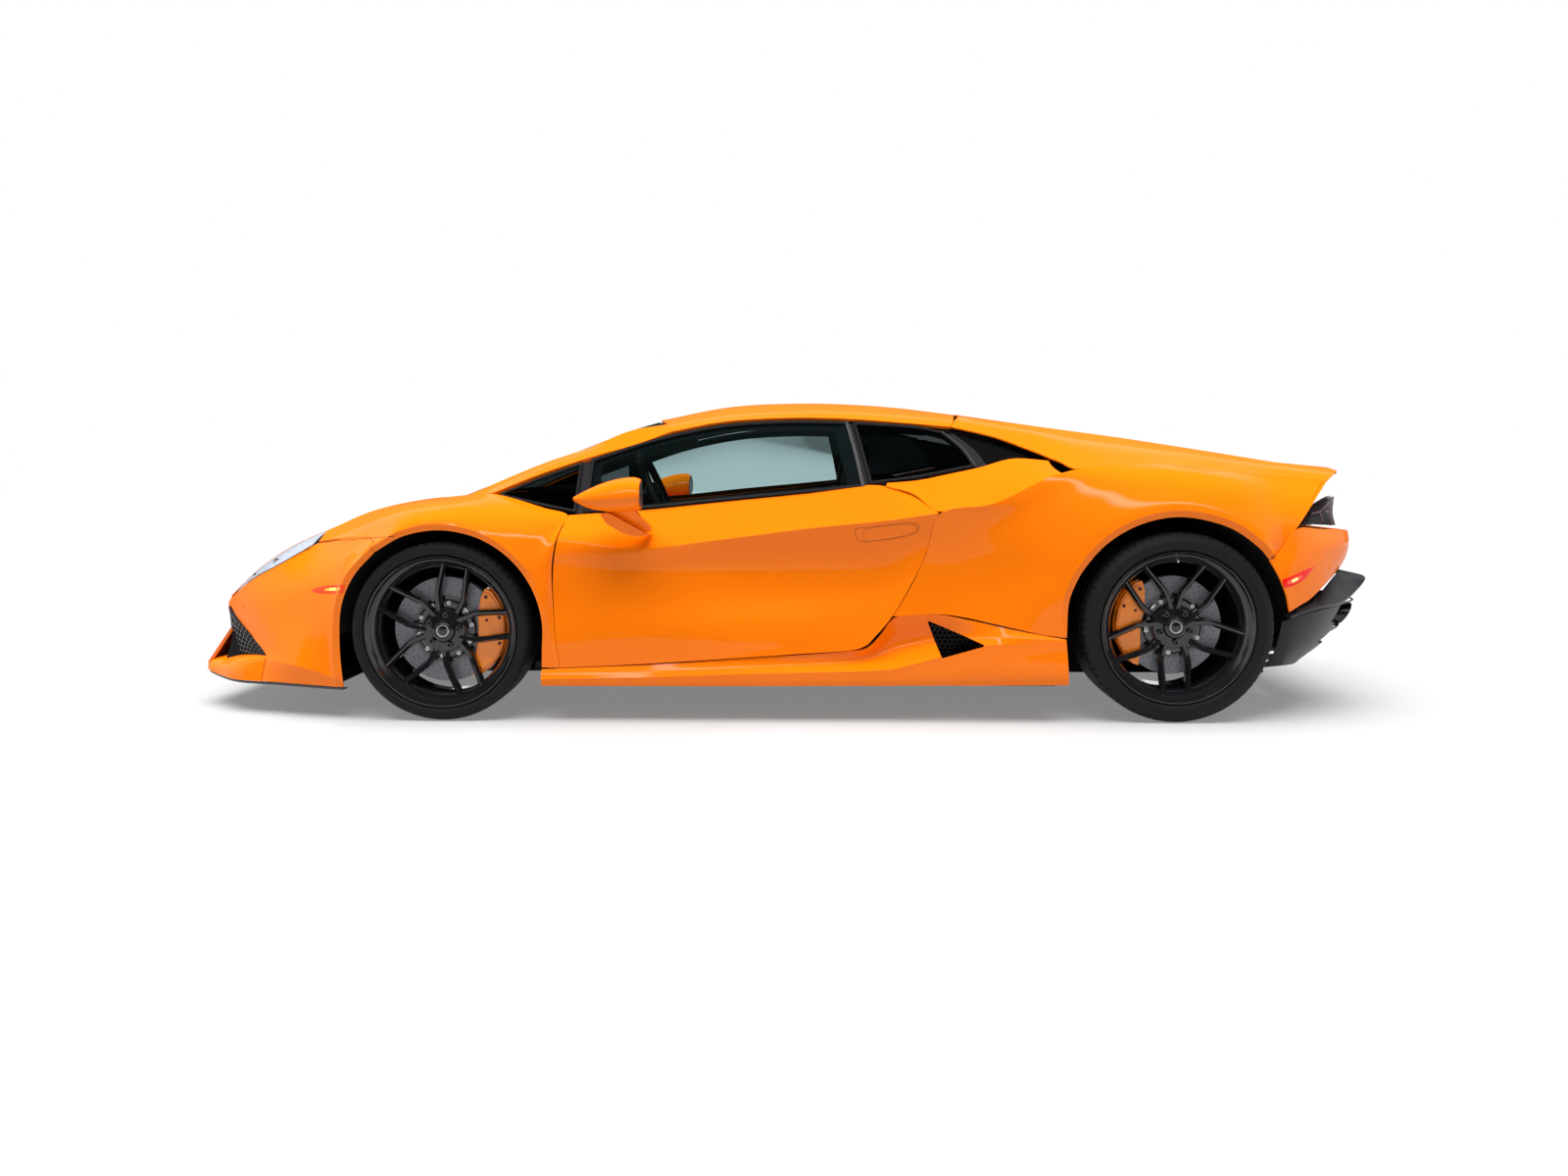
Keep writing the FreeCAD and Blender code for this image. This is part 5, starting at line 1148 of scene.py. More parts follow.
mhs.append(slab([(607, 514, -1004), (643, 517, -1002), (664, 537.5, -930), (664.5, 542.5, -924), (657, 543.5, -930), (622, 525, -980)], 44))
mhs.append(slab([(612, 524, -1004), (622, 524, -998), (656, 542.5, -944), (662.7, 546.5, -930), (648, 547.8, -944), (634.7, 544, -962), (618, 534, -992)], 40))
door_parts = [p_dr] + card
o1 = obj("door_skin_left", door_parts, [PAINT, LEATH], "door_left_body", ["door_left"], bevel=1.5, angle=24)
o2 = obj("door_skin_right", [mirp(p) for p in door_parts], [PAINT, LEATH], "door_right_body", ["door_right"], bevel=1.5, angle=24)
for nm, fn, bd in (("left", lambda p: p, "door_left_body"), ("right", mirp, "door_right_body")):
    obj("window_" + nm, [fn(p) for p in dgl + dfr], [PAINT, LEATH, GLASSW, FRAMEB, GREY_TRIM_AND_HIGHLIGHT, FRAMEB], bd, ["door_glass_" + nm], sharp=35)
    obj("door_handle_" + nm, [fn(p) for p in hnd], [PAINT, LEATH, GLASSW, BLACKG, SEAMO], bd, sharp=60)
    obj("mirror_shell_" + nm, [fn(p) for p in mhs], [PAINT, LEATH, GLASSW, BLACKG, PAINTED_SHADE_BLACK, STEEL], bd, ["mirror_" + nm], bevel=1.5, angle=38, fix=True)

# ---------------------------------------------------------------- sills
G_SL = surf(SILL, 110, 34, (0, 0, 0, 0.0), vb=(2,))
p_sl = shell(G_SL, 6, (AXF + 1.2, 0, 0.22), mi=1)
o_sill = obj("sill_skins", mboth([p_sl]), [PAINT, INNER], "chassis", ["side_sills"], bevel=1.3, angle=24)
tri = [(1738, 361), (1933, 281), (1935, 277), (1930, 273), (1790, 233), (1785, 235)]
boolean(o_sill, mboth([prism(tri, -1000, -830)]))

# ---------------------------------------------------------------- rear wings, haunch, buttress
for k in range(4):
    FRN[k][-1] = (FRN[k][-1][0] - 0.0035, FRN[k][-1][1], FRN[k][-1][2] - (0.001 if k < 3 else 0))
G_FR = surf(FRN, 74, 34, (0.2, 0.8, 0, 0), vb=(1,))
p_fr = shell(G_FR, 5, (AXR, -0.5, 0.3), mi=1)
top = G_FR[:, -1]
xs = (top[:, 0] - AXF) * 1000
G_SH = surf(SHO, 50, 16, (0, 2, 0, 1))
sx = (G_SH[:, 0, 0] - AXF) * 1000
i0, i1 = np.searchsorted(xs, 1781), np.searchsorted(xs, 2204)
rows = []
for i in range(len(G_SH)):
    if sx[i] < 1770:
        rows.append(G_SH[i])
for i in range(i0, i1 + 1):
    k = np.interp(xs[i], sx, np.arange(len(sx)))
    a = int(min(k, len(sx) - 2))
    r = G_SH[a] * (1 - (k - a)) + G_SH[a + 1] * (k - a)
    d = top[i] - r[0]
    w = (1 - np.linspace(0, 1, len(r)))[:, None] ** 2
    rows.append(r + d * w)
G_SH2 = np.array(rows)
p_sh = shell(G_SH2, 5, (AXF + 1.8, 0, 0.4), mi=1)
G_BT = surf(BUT, 70, 26, (0.7, 0, 1, 2))
for i in range(len(G_BT)):
    xb = (G_BT[i, 0, 0] - AXF) * 1000
    if xb > 2222:
        k = int(np.argmin(np.abs(xs - xb) + (xs < 2150) * 1e4))
        a_, b_ = top[max(k - 1, 0)], top[min(k + 1, len(top) - 1)]
        t_ = np.clip((G_BT[i, 0, 0] - a_[0]) / max(b_[0] - a_[0], 1e-6), 0, 1)
        d = a_ + (b_ - a_) * t_ - G_BT[i, 0] + np.array([0, 0.0004, 0.0006])
        G_BT[i] += d * ((1 - np.linspace(0, 1, G_BT.shape[1]))[:, None] ** 3) * min(1.0, (xb - 2222) / 45.0)
p_bt = shell(G_BT, 6, (AXF + 2.4, 0, 0.4), mi=1)
obj("rear_wings", mboth([p_fr, p_sh, p_bt]), [PAINT, INNER], "chassis", ["rear_fenders"], bevel=1.5, angle=24)

# ---------------------------------------------------------------- engine lid with slats
G_EL = surf(ELID, 60, 50, (2.5, 2.5, 2.5, 2.5), full="v")


def sub(G, u0, u1, v0, v1, nu=24, nv=24):
    u, v = np.meshgrid(np.linspace(u0, u1, nu), np.linspace(v0, v1, nv), indexing="ij")
    return samp(G, u, v)


EIN = (AXF + 2.4, 0, 0.3)
el = [shell(sub(G_EL, 0, 0.05, 0, 1), 8, EIN, mi=1), shell(sub(G_EL, 0.80, 1, 0, 1), 8, EIN, mi=1),
      shell(sub(G_EL, 0.05, 0.80, 0, 0.20), 8, EIN, mi=1), shell(sub(G_EL, 0.05, 0.80, 0.80, 1), 8, EIN, mi=1)]
# Sheet 40 mm under the slats in the near-black material: painted shade between the slats.
el.append(shell(sub(G_EL, 0.04, 0.81, 0.19, 0.81), 4, EIN, off=40, m=2))
ns = 6
for k in range(ns):
    u0 = 0.058 + k * (0.735 / ns)
    S = sub(G_EL, u0, u0 + 0.735 / ns * 0.72, 0.205, 0.795, 8, 20)
    lift = np.linspace(-0.003, -0.020, 8)[:, None]
    S[..., 2] += lift
    el.append(shell(S, 7, EIN, m=3))
obj("engine_lid_panel", el, [PAINT, INNER, PAINTED_SHADE_BLACK, SATIN], "engine_lid_body", ["engine_lid"], bevel=1.2, angle=24)

G_SP = surf(SPO, 24, 50, (2, 0, 1, 1), full="v")
obj("tail_lip", [shell(G_SP, 14, EIN)], [PAINT], "chassis", ["tail_spoiler"], bevel=2.5, seg=3, angle=24)

# ---------------------------------------------------------------- rear bumper, lamps, diffuser, exhaust
G_BR = surf(BUMP_R, 96, 26, (0.5, 0.5, 0, 0.8), full="u")
p_br = shell(G_BR, 8, (AXR + 0.2, 0, 0.5), mi=1)
topl = G_BR[:, -1]
topl = topl[np.abs(topl[:, 1]) < 0.868]
lip_in = topl + np.array([-0.055, 0, 0.003])
lip_in[:, 1] *= 0.955
shelf = np.stack([topl, (topl + lip_in) / 2, lip_in], 1)
br = [p_br, shell(shelf, 5, (AXR + 0.2, 0, 0.3))]
obj("rear_bumper_shell", br, [PAINT, INNER], "chassis", ["rear_bumper"], bevel=2.0, seg=3, angle=24)

G_TL = surf(TL, 40, 14, (0, 0, 1, 1))
N_TL, s_TL = side_of(G_TL, (AXR + 0.2, 0, 0.7))
tl = [shell(G_TL, 3, (AXR + 0.2, 0, 0.7), m=0)]
B_TL = G_TL + N_TL * s_TL * 0.012
tl.append(shell(B_TL, 6, (AXR + 0.2, 0, 0.7), m=1))
for (us, vs) in (((0.08, 0.35), (0.5, 0.5)), ((0.35, 0.62), (0.5, 0.86)), ((0.35, 0.62), (0.5, 0.14)), ((0.60, 0.92), (0.5, 0.5))):
    uu = np.linspace(us[0], us[1], 12)
    vv = np.linspace(vs[0], vs[1], 12)
    q = samp(G_TL, uu, vv) + samp(N_TL, uu, vv) * s_TL * 0.004
    tl.append(tube(q, 0.0045, 8, 2))
obj("tail_lamps", mboth(tl), [glass("tail_cover", (0.012, 0.010, 0.011), (0.42, 0.34, 0.36), spec=0.6, lo=0.10, hi=0.6), TAILD, TAILR], "chassis", ["tail_lights"], sharp=35)

LG = [[lerp(c[0], c[1], t) for t in (0, 0.5, 1.0)] for c in LEDGE]
G_LG = surf(LG, 110, 10, full="u")
p_lg = between(G_LG, G_LG + np.array([-0.008, 0, -0.013]), side_of(G_LG, (AXR, 0, -2.0))[1] > 0, 0)
G_DF = surf(DIFF, 90, 26, (0, 0, 0, 1), full="u")
G_DF[..., 0] += 0.0
p_df = shell(G_DF, 5, (AXR + 0.2, 0, 0.4), off=1)
finp = []
for yy in (-330, -110, 110, 330):
    finp.append(prism([(3040, 136), (3262, 142), (3334, 200), (3376, 258), (3306, 258), (3200, 162), (3040, 160)], yy - 4, yy + 4))
o_df = obj("diffuser_shell", [p_df], [COMPO, PAINTED_SHADE_BLACK], "chassis", bevel=1.5, angle=28)
rear_open = [[(-735, 338), (-700, 398), (-380, 398), (-380, 306), (-640, 306)], [(-745, 264), (-690, 298), (-400, 296), (-400, 232), (-620, 246)]]
cuts = []
for poly in rear_open:
    for s in (1, -1):
        cuts.append(loft([[P(3120, s * q[0], q[1]) for q in poly], [P(3560, s * q[0], q[1]) for q in poly]]))
boolean(o_df, cuts)
obj("diffuser_blades", [p_lg] + finp, [COMPO], "chassis", ["rear_diffuser"], bevel=1.6, angle=28, fix=True)
# Sheet behind the diffuser openings in the near-black material: painted shade in the openings.
BK = [[P(3060, -800, 225), P(3060, -800, 400)], [P(3150, -600, 225), P(3230, -620, 400)], [P(3230, -300, 225), P(3300, -300, 400)], [P(3230, 0, 225), P(3300, 0, 400)]]
obj("diffuser_back", [shell(surf(BK, 30, 6, full="u"), 4, (AXR, 0, 0.3))], [PAINTED_SHADE_BLACK], "chassis")
ex = []
axx = np.array([1, 0, 0.08])
axx /= np.linalg.norm(axx)
for yy in (-530.0, -432.0):
    prof = []
    secs = []
    for d, r in ((0, 38), (88, 38), (104, 41), (106, 39.5), (104, 37), (50, 36), (14, 35), (12, 5)):
        c0 = np.array([3.262 - 0, 0, 0])
        base = np.array(P(3262, yy, 341))
        ctr = base + axx * d * MM
        a = np.arange(40) * 2 * math.pi / 40
        sl = np.zeros(40)
        if d >= 88:
            sl = np.sin(a) * 0.022 * ((d - 70) / 36.0)
        if d in (104, 106):
            sl = np.sin(a) * 0.022
        if r == 37:
            sl = np.sin(a) * 0.022 - 0.001
        secs.append(ctr + np.stack([sl, r * MM * np.cos(a), r * MM * np.sin(a)], 1))
    ex.append(loft(secs, 0, caps=True))
    # Disc 16 mm inside each pipe in the near-black material: painted shade down the pipe.
    ex.append(rod(tuple(base + axx * 0.016), tuple(base + axx * 0.018), 0.0345, 30, 1))
obj("exhaust_tips", mboth(ex), [PIPE, PAINTED_SHADE_BLACK], "chassis", ["exhaust"], sharp=30, fix=True)

# ---------------------------------------------------------------- lines, markers and small trim on the skins
T_BF = bvh([p_bf])
T_FF = bvh([p_ff])
T_BR = bvh([p_br])
T_FR = bvh([p_fr])


sl_ = draw(T_BF, [(327, 553.6), (344, 551.6), (362, 550.2), (378, 549)], 24, 0.3)
sl2_ = draw(T_FF, [(378, 549), (390, 548), (402, 547.2)], 14, 0.3)
obj("front_shut_line", mboth([tube(np.concatenate([sl_, sl2_]) if len(sl_) and len(sl2_) else sl2_, 0.0009, 6)]), [PAINTED_SHADE_BLACK], "chassis")


def lens(tree, outline, hot, m0, m1, m2, name, thick=2.0):
    """Flush lamp: patch lying on the skin, with a lit core."""
    top = line([(a[0], a[1], 0) for a in outline[0]], 16)
    bot = line([(a[0], a[1], 0) for a in outline[1]], 16)
    rows_ = []
    for a, b in zip(top, bot):
        r = []
        for t in np.linspace(0, 1, 7):
            q = a * (1 - t) + b * t
            h = on(tree, q[0], q[1], 0.0)
            if h is None:
                h = on(tree, q[0] - 1.5, q[1], 0.0)
            if h is not None:
                bulge = thick * math.sin(math.pi * min(max(t, 0.06), 0.94)) ** 0.5
                h = h + np.array([0, -bulge * MM, 0])
            r.append(h)
        if all(h is not None for h in r):
            rows_.append(r)
    G = np.array(rows_)
    ps = [shell(G, thick + 1.5, (0, 0, 0.5), m=0)]
    n = len(G)
    a, b = int(hot[0] * n), int(hot[1] * n)
    ps.append(shell(G[a:b, 2:5] - np.array([0, 0.0006, 0]), 0.5, (0, 0, 0.5), m=1))
    c_, w_ = (a + b) // 2, max(2, (b - a) // 5)
    ps.append(shell(G[c_ - w_:c_ + w_, 2:5] - np.array([0, 0.0012, 0]), 0.5, (0, 0, 0.5), m=2))
    obj(name, mboth(ps), [m0, m1, m2], "chassis", sharp=40)


lens(T_BF, (((317.5, 602.0), (325, 599.2), (340, 597.0), (352.5, 596.8)), ((317.8, 602.6), (325, 605.2), (340, 605.4), (350, 605.0))), (0.42, 0.92), AMBER, AMBERM, AMBERH, "side_marker_front")
lens(T_BR, (((1308.5, 591.5), (1318, 588), (1330, 582.5), (1340.5, 578)), ((1310.5, 600.0), (1320, 597.5), (1331, 590.5), (1340.8, 579.0))), (0.12, 0.62), REDL, REDM, REDH, "side_marker_rear")

q = on(T_BF, 247, 619.5, 0.4)
if q is not None:
    n_ = np.array([-0.62, -0.72, -0.2])
    n_ /= np.linalg.norm(n_)
    obj("sensor_caps", mboth([rod(tuple(q - n_ * 0.003), tuple(q + n_ * 0.0012), 0.0115, 24)]), [PAINT], "chassis", bevel=0.5)

q = on(T_BR, 1357.5, 577.5, 0.4)
if q is not None:
    n_ = np.array([0.70, -0.70, 0.1])
    n_ /= np.linalg.norm(n_)
    obj("sensor_caps_rear", mboth([rod(tuple(q - n_ * 0.003), tuple(q + n_ * 0.0012), 0.0105, 24)]), [PAINT], "chassis", bevel=0.5)

# rear face trim: blank plate recess
pl = [loft([[P(3416, -260 * 1, 548), P(3416, 260, 548), P(3420, 260, 640), P(3420, -260, 640)], [P(3421, -256, 552), P(3421, 256, 552), P(3424, 256, 636), P(3424, -256, 636)]])]
obj("plate_recess", pl, [SATIN], "chassis", bevel=0.8, fix=True)

# ---------------------------------------------------------------- wheel house liners
def liner(cx, cz, r, y0, y1, a0, a1, name, floor_in):
    prof_o = [(y0 * 1000 if False else y0, r), (y1, r)]
    ang = np.linspace(a0, a1, 49)
    A_ = np.array([[(cx + r * MM * math.cos(math.radians(t)), yy * MM, cz + r * MM * math.sin(math.radians(t))) for yy in np.linspace(y0 + 75 * min(max((52 - t) / 40.0, 0), 1) * (name == "r"), y1, 5)] for t in ang])
    ps = [shell(A_, -4 if False else 4, (cx, (y0 + y1) / 2 * MM, cz + 10.0))]
    ring_o = [(cx + r * MM * math.cos(math.radians(t)), y1 * MM, cz + r * MM * math.sin(math.radians(t))) for t in ang]
    zb = floor_in * MM
    wall = []
    for p in ring_o:
        wall.append([p, (p[0], p[1], zb)])
    ps.append(shell(np.array(wall), 3, (cx, 0, cz)))
    return ps


lf = liner(AXF, 0.318, 373.0, -928, -545, -2, 182, "f", 135)
lr = liner(AXR, 0.332, 407.0, -936, -640, -2, 182, "r", 135)
obj("wheel_house_liners", mboth(lf + lr), [LINER], "chassis", sharp=50)

# closing pieces seen between the skins: near-black sheets, painted shade in the gaps
cl = []
cl.append(prism([(-380, 135), (-300, 135), (-300, 560), (-380, 600), (-640, 520), (-860, 380), (-860, 150)], -600, -596))
cl.append(shell(strip([P(3060, -866, 694), P(3104, -804, 768), P(3150, -726, 828)], [P(3036, -886, 686), P(3108, -828, 772), P(3186, -738, 850)]), 3, (AXR, 0, 0.5)))
cl.append(shell(strip([P(1900, -452, 1080), P(2152, -446, 1046), P(2500, -486, 996), P(2780, -526, 952), P(3050, -574, 906)], [P(1900, -412, 1084), P(2152, -404, 1050), P(2500, -444, 1000), P(2780, -484, 956), P(3050, -532, 910)]), 2, (AXR, 0, 0.3)))
cl.append(shell(strip([P(3056, -868, 330), P(3060, -880, 480), P(3066, -876, 640)], [P(3056, -600, 330), P(3060, -600, 480), P(3066, -600, 640)]), 3, (AXR, 0, 0.5)))
obj("inner_panels", mboth(cl), [PAINTED_SHADE_BLACK], "chassis")


# ---------------------------------------------------------------- wheels
def wheel(cy, w, r, kind, base, n_sl):
    """Left wheel about the origin, outer side toward -y. Returns tyre and rim parts."""
    h = w / 2.0
    RR, RB = 271.0, 256.0
    half = [(h - 30, RB + 0.8), (h - 22, RB + 0.8), (h - 19.5, RR - 4), (h - 17, RR + 3), (h - 10, RR + 5.5), (h - 5, RR + 8), (h - 1.5, RR + 14), (h - 0.2, RR + 22)]
    side_h = r - (RR + 22)
    half += [(h - 0.5, RR + 22 + side_h * 0.25), (h - 2.0, RR + 22 + side_h * 0.42), (h - 3.0, RR + 22 + side_h * 0.44), (h - 6.0, RR + 22 + side_h * 0.62), (h - 11, r - 8), (h - 17, r - 4.2), (h - 26, r - 1.6)]
    tread = []
    groove = [h * 0.62, h * 0.22]
    ys = [h - 34]
    tr = [(h - 34, 0)]
    for g in groove:
        tr += [(g + 5.2, 0), (g + 4.4, -6.5), (g - 4.4, -6.5), (g - 5.2, 0)]
    tr += [(0.5 * h * 0.22 - 2, 0)]
    topz = [(a, r + d + (-0.9 + 0.9 * (1 - (a / (h - 34)) ** 2))) for a, d in tr]
    right = half + topz
    prof = right + [(-a, b) for a, b in reversed(right)]
    nP = len(prof)
    pitch = 360.0 / n_sl
    offs = np.array([0.0, 0.07, 0.50, 0.57, 2.2, 4.0]) / 6.0 * pitch
    ang = np.concatenate([k * pitch + offs for k in range(n_sl)])
    rad = np.zeros((len(ang), nP))
    slot_rows = [k for k in range(nP) if abs(prof[k][0]) > h * 0.68 and prof[k][1] > r - 9.5]
    mid_rows = [k for k in range(nP) if h * 0.24 < abs(prof[k][0]) < h * 0.60 and prof[k][1] > r - 3]
    for i in range(len(ang)):
        if i % 6 in (1, 2):
            rad[i, slot_rows] = -4.6
    ty = spin(prof, ang=ang, rad=rad, closed=True)
    core = spin([(-(h - 26), RB + 0.8), ((h - 26), RB + 0.8)], 96)
    # rim
    b = RB - 1.0
    hh = h - 8.0
    pr = [(-hh, RR), (-hh, RR - 3.5), (-hh + 2.5, RR - 6), (-hh + 9, RR - 9.5), (-hh + 17, b - 2), (-hh + 24, b - 9), (-hh + 30, b - 14), (-hh + 44, b - 22), (-hh + 60, b - 27),
          (hh - 44, b - 27), (hh - 22, b - 16), (hh - 12, b - 9), (hh - 3, b - 6), (hh, RR - 6), (hh, RR), (hh - 9, RR), (hh - 12, b), (-hh + 12, b), (-hh + 9, RR)]
    rm = [spin(pr, 128, 0, closed=True)]
    face = -hh + 26.0
    # hub and cap
    hubp = [(face + 52, 0.1), (face + 52, 78), (face + 34, 80), (face + 27, 76), (face + 25, 64), (face + 22, 44), (face + 14, 38), (face + 11, 31), (face + 13, 29.5), (face + 13, 0.1)]
    rm.append(spin(hubp, 80, 0))
    rm.append(spin([(face + 14, 0.1), (face + 8.5, 0.1), (face + 9.0, 16), (face + 10.5, 25), (face + 12.5, 28), (face + 15, 28.3)], 64, 0))
    rm.append(spin([(face + 9.2, 18.5), (face + 8.4, 19.5), (face + 8.6, 21.5), (face + 9.8, 22.5)], 64, 2))
    st = [(34, 33, 17, 26, 20, 50), (52, 27.5, 14, 26, 24, 50), (80, 25.0, 12.5, 25, 24.5, 50), (112, 23.2, 12, 24, 22.5, 50), (132, 21.6, 10.5, 24, 20.5, 50),
          (146, 19.2, 7.0, 24, 18.5, 48), (180, 15.0, 6.0, 23, 13.5, 44), (215, 12.0, 6.0, 23, 8.5, 38), (240, 10.4, 6.5, 25, 4.5, 34), (254, 9.8, 9.0, 30, 2.5, 30)]
    for k in range(5):
        for s in (-1, 1):
            ctr = []
            for (rr, dg, wt, wb, yt, yb) in st:
                a = math.radians(base + 72 * k + s * dg)
                ctr.append((rr * math.cos(a), rr * math.sin(a)))
            C = np.array(ctr)
            T = np.gradient(C, axis=0)
            T /= np.linalg.norm(T, axis=1, keepdims=True)
            Nn = np.stack([-T[:, 1], T[:, 0]], 1)
            secs = []
            for i, (rr, dg, wt, wb, yt, yb) in enumerate(st):
                outer_side = s
                sh = 0.0
                pts = [(-wb / 2, yb), (-wb / 2 + 1.0, yt + 12), (-wt / 2 + sh, yt + 1.0), (wt / 2 + sh, yt), (wb / 2 - 1.0, yt + 12), (wb / 2, yb)]
                if s < 0:
                    pts = [(-a, y_) for a, y_ in reversed(pts)]
                secs.append([((C[i][0] + Nn[i][0] * o) * MM, (face + y_) * MM, (C[i][1] + Nn[i][1] * o) * MM) for o, y_ in pts])
            rm.append(loft(secs, 0))
    # nuts
    for k in range(5):
        a = math.radians(base + 72 * k)
        cx, cz = 56 * math.cos(a), 56 * math.sin(a)
        for (yy0, yy1, rr, nn, mm_) in ((face + 8, face + 30, 9.8, 6, 0), (face + 24, face + 30, 13.5, 24, 0)):
            rm.append(rod((cx * MM, yy1 * MM, cz * MM), (cx * MM, yy0 * MM, cz * MM), rr * MM, nn, mm_))
        # Dark disc in each nut's socket in the near-black material: painted shade in the hole.
        rm.append(rod((cx * MM, (face + 8.5) * MM, cz * MM), (cx * MM, (face + 7.8) * MM, cz * MM), 5.2 * MM, 16, 1))
    a = math.radians(base + 36)
    rm.append(rod((244 * math.cos(a) * MM, (-hh + 22) * MM, 244 * math.sin(a) * MM), (236 * math.cos(a) * MM, (-hh + 2) * MM, 236 * math.sin(a) * MM), 0.0035, 10, 2))
    return [ty, core], rm


def disc_parts(rd, t, ri, face_y):
    """Outer face at -t/2; face_y is the hub face, more negative is further out."""
    ring = [(-t / 2, ri), (-t / 2, rd - 1), (-t / 2 + 1, rd), (-t / 2 + 7, rd), (-t / 2 + 8, rd - 6), (t / 2 - 8, rd - 6), (t / 2 - 7, rd), (t / 2 - 1, rd), (t / 2, rd - 1), (t / 2, ri)]
    ps = [spin(ring, 120, 0, closed=True)]
    bell = [(face_y, 40), (face_y, ri - 12), (face_y + 4, ri - 6), (-t / 2 - 3, ri - 2), (-t / 2 - 3, ri + 9), (-t / 2, ri + 9), (t / 2, ri + 6), (t / 2, ri - 8), (face_y + 12, ri - 14), (face_y + 12, 40)]
    ps.append(spin(bell, 90, 1, closed=True))
    # Drill holes and bolt centres drawn as near-black dots just proud of the faces: painted shade.
    dots = []
    nz = 60
    for k in range(nz):
        for j, off in ((0, 0), (1, 1.9), (2, 3.8), (3, 0.9)):
            if (k + j) % 2:
                continue
            rr = ri + 16 + j * (rd - ri - 26) / 3.0
            a = math.radians(k * 6 + off)
            c = (rr * math.cos(a) * MM, 0, rr * math.sin(a) * MM)
            dots.append(rod((c[0], (-t / 2 - 0.25) * MM, c[2]), (c[0], (-t / 2 + 0.5) * MM, c[2]), 0.0024, 8, 2))
            dots.append(rod((c[0], (t / 2 + 0.25) * MM, c[2]), (c[0], (t / 2 - 0.5) * MM, c[2]), 0.0024, 8, 2))
    for k in range(10):
        a = math.radians(k * 36 + 10)
        rr = 97.5
        c = (rr * math.cos(a) * MM, 0, rr * math.sin(a) * MM)
        dots.append(rod((c[0], (face_y + 3) * MM, c[2]), (c[0], (face_y - 2.5) * MM, c[2]), 0.0072, 12, 3))
        dots.append(rod((c[0], (face_y - 2.4) * MM, c[2]), (c[0], (face_y - 2.9) * MM, c[2]), 0.0030, 8, 2))
    return ps + dots


def arc(r0, r1, y0, y1, a0, a1, n=20, m=0, ch=3.0):
    """Ring sector with eased corners. Radii and y in mm."""
    prof = [(y0 + ch, r0), (y1 - ch, r0), (y1, r0 + ch), (y1, r1 - ch), (y1 - ch, r1), (y0 + ch, r1), (y0, r1 - ch), (y0, r0 + ch)]
    return spin(prof, n, m, closed=True, a0=a0, a1=a1, caps=True)


CAL = [(145, 150), (170, 134), (194, 96), (208, 62), (212, 20), (211, -30), (203, -66), (190, -96), (166, -126), (122, -168), (97, -172), (106, -84), (116, -40), (119, 8), (116, 44), (128, 116)]


def caliper_parts(rd, t, a0, a1):
    """Block over the disc about the y axis; drawn for the middle angle 2 degrees and turned after."""
    ps = []
    am = (a0 + a1) / 2.0
    k = (rd + 22.0) / 212.0
    h = 35.0
    P2 = [(x_ * k, z_ * k) for x_, z_ in CAL]
    cx, cz = 160 * k, -5 * k

    def plate(f, y0, y1, m=0, sub=None):
        q = [(cx + (a_ - cx) * f, cz + (b_ - cz) * f) for a_, b_ in (sub or P2)]
        return loft([[(a_ * MM, y0 * MM, b_ * MM) for a_, b_ in q], [(a_ * MM, y1 * MM, b_ * MM) for a_, b_ in q]], m)

    ps.append(plate(1.0, -t / 2 - 5, -h + 5))
    ps.append(plate(0.90, -t / 2 - 6, -h + 0.5))
    mid = [(118, 58), (150, 66), (186, 60), (200, 20), (200, -28), (188, -62), (150, -70), (112, -62), (118, -38), (121, 8)]
    ps.append(plate(0.94, -h + 3, -h - 0.4, 0, [(a_ * k, b_ * k) for a_, b_ in mid]))
    ps.append(plate(1.0, t / 2 + 5, h - 4))
    for c0, hw in ((-40, 5), (-22, 5), (0, 7), (22, 5), (34, 4)):
        ps.append(arc(rd + 6, rd + 20.5, -h + 7, h - 7, c0 - hw, c0 + hw, 8, 0, 3))
    for x_, z_ in ((148, 118), (120, -140), (196, 44), (194, -50)):
        c = (x_ * k * MM, z_ * k * MM)
        ps.append(rod((c[0], (-h + 4) * MM, c[1]), (c[0], (-h - 0.3) * MM, c[1]), 0.0078, 6, 1))
        ps.append(rod((c[0], (-h + 4) * MM, c[1]), (c[0], (-h + 0.1) * MM, c[1]), 0.0115, 24, 0))
    for z_ in (34, -36):
        c = (150 * k * MM, z_ * k * MM)
        ps.append(rod((c[0], (-h + 2) * MM, c[1]), (c[0], (-h - 1.6) * MM, c[1]), 0.019, 32, 0))
        ps.append(rod((c[0], (-h + 2) * MM, c[1]), (c[0], (-h - 1.9) * MM, c[1]), 0.006, 16, 1))
    a_ = math.radians(am - 2.0)
    R = [[math.cos(a_), 0, -math.sin(a_)], [0, 1, 0], [math.sin(a_), 0, math.cos(a_)]]
    if am > 90:
        R = (np.array(R) @ np.array([[1, 0, 0], [0, 1, 0], [0, 0, -1]])).tolist()
        return [(turned(p, R)[0], [tuple(f)[::-1] for f in p[1]], p[2]) for p in ps]
    return [turned(p, R) for p in ps]


def upright_parts(hz, d, r):
    ps = [spin([(-772, 26), (-772, 64), (-768, 70), (-732, 70), (-728, 64), (-728, 26)], 48, 2, closed=True)]
    for s in (-1, 1):
        z0, z1 = sorted((s * 30, s * hz))
        ps.append(box(-0.026, 0.026, -0.770, -0.730, z0 * MM, z1 * MM, 2))
        ps.append(rod((0, -0.775, s * (hz - 14) * MM), (0, -0.725, s * (hz - 14) * MM), 0.030, 24, 2))
    x0, x1 = sorted((d * 30 * MM, d * r * MM))
    ps.append(box(x0, x1, -0.770, -0.734, -0.028, 0.028, 2))
    x0, x1 = sorted((d * 130 * MM, d * r * MM))
    ps.append(box(x0, x1, -0.796, -0.762, -0.028, 0.028, 2))
    return ps


def flip_if(ps, s):
    return ps if s < 0 else [mirp(p) for p in ps]


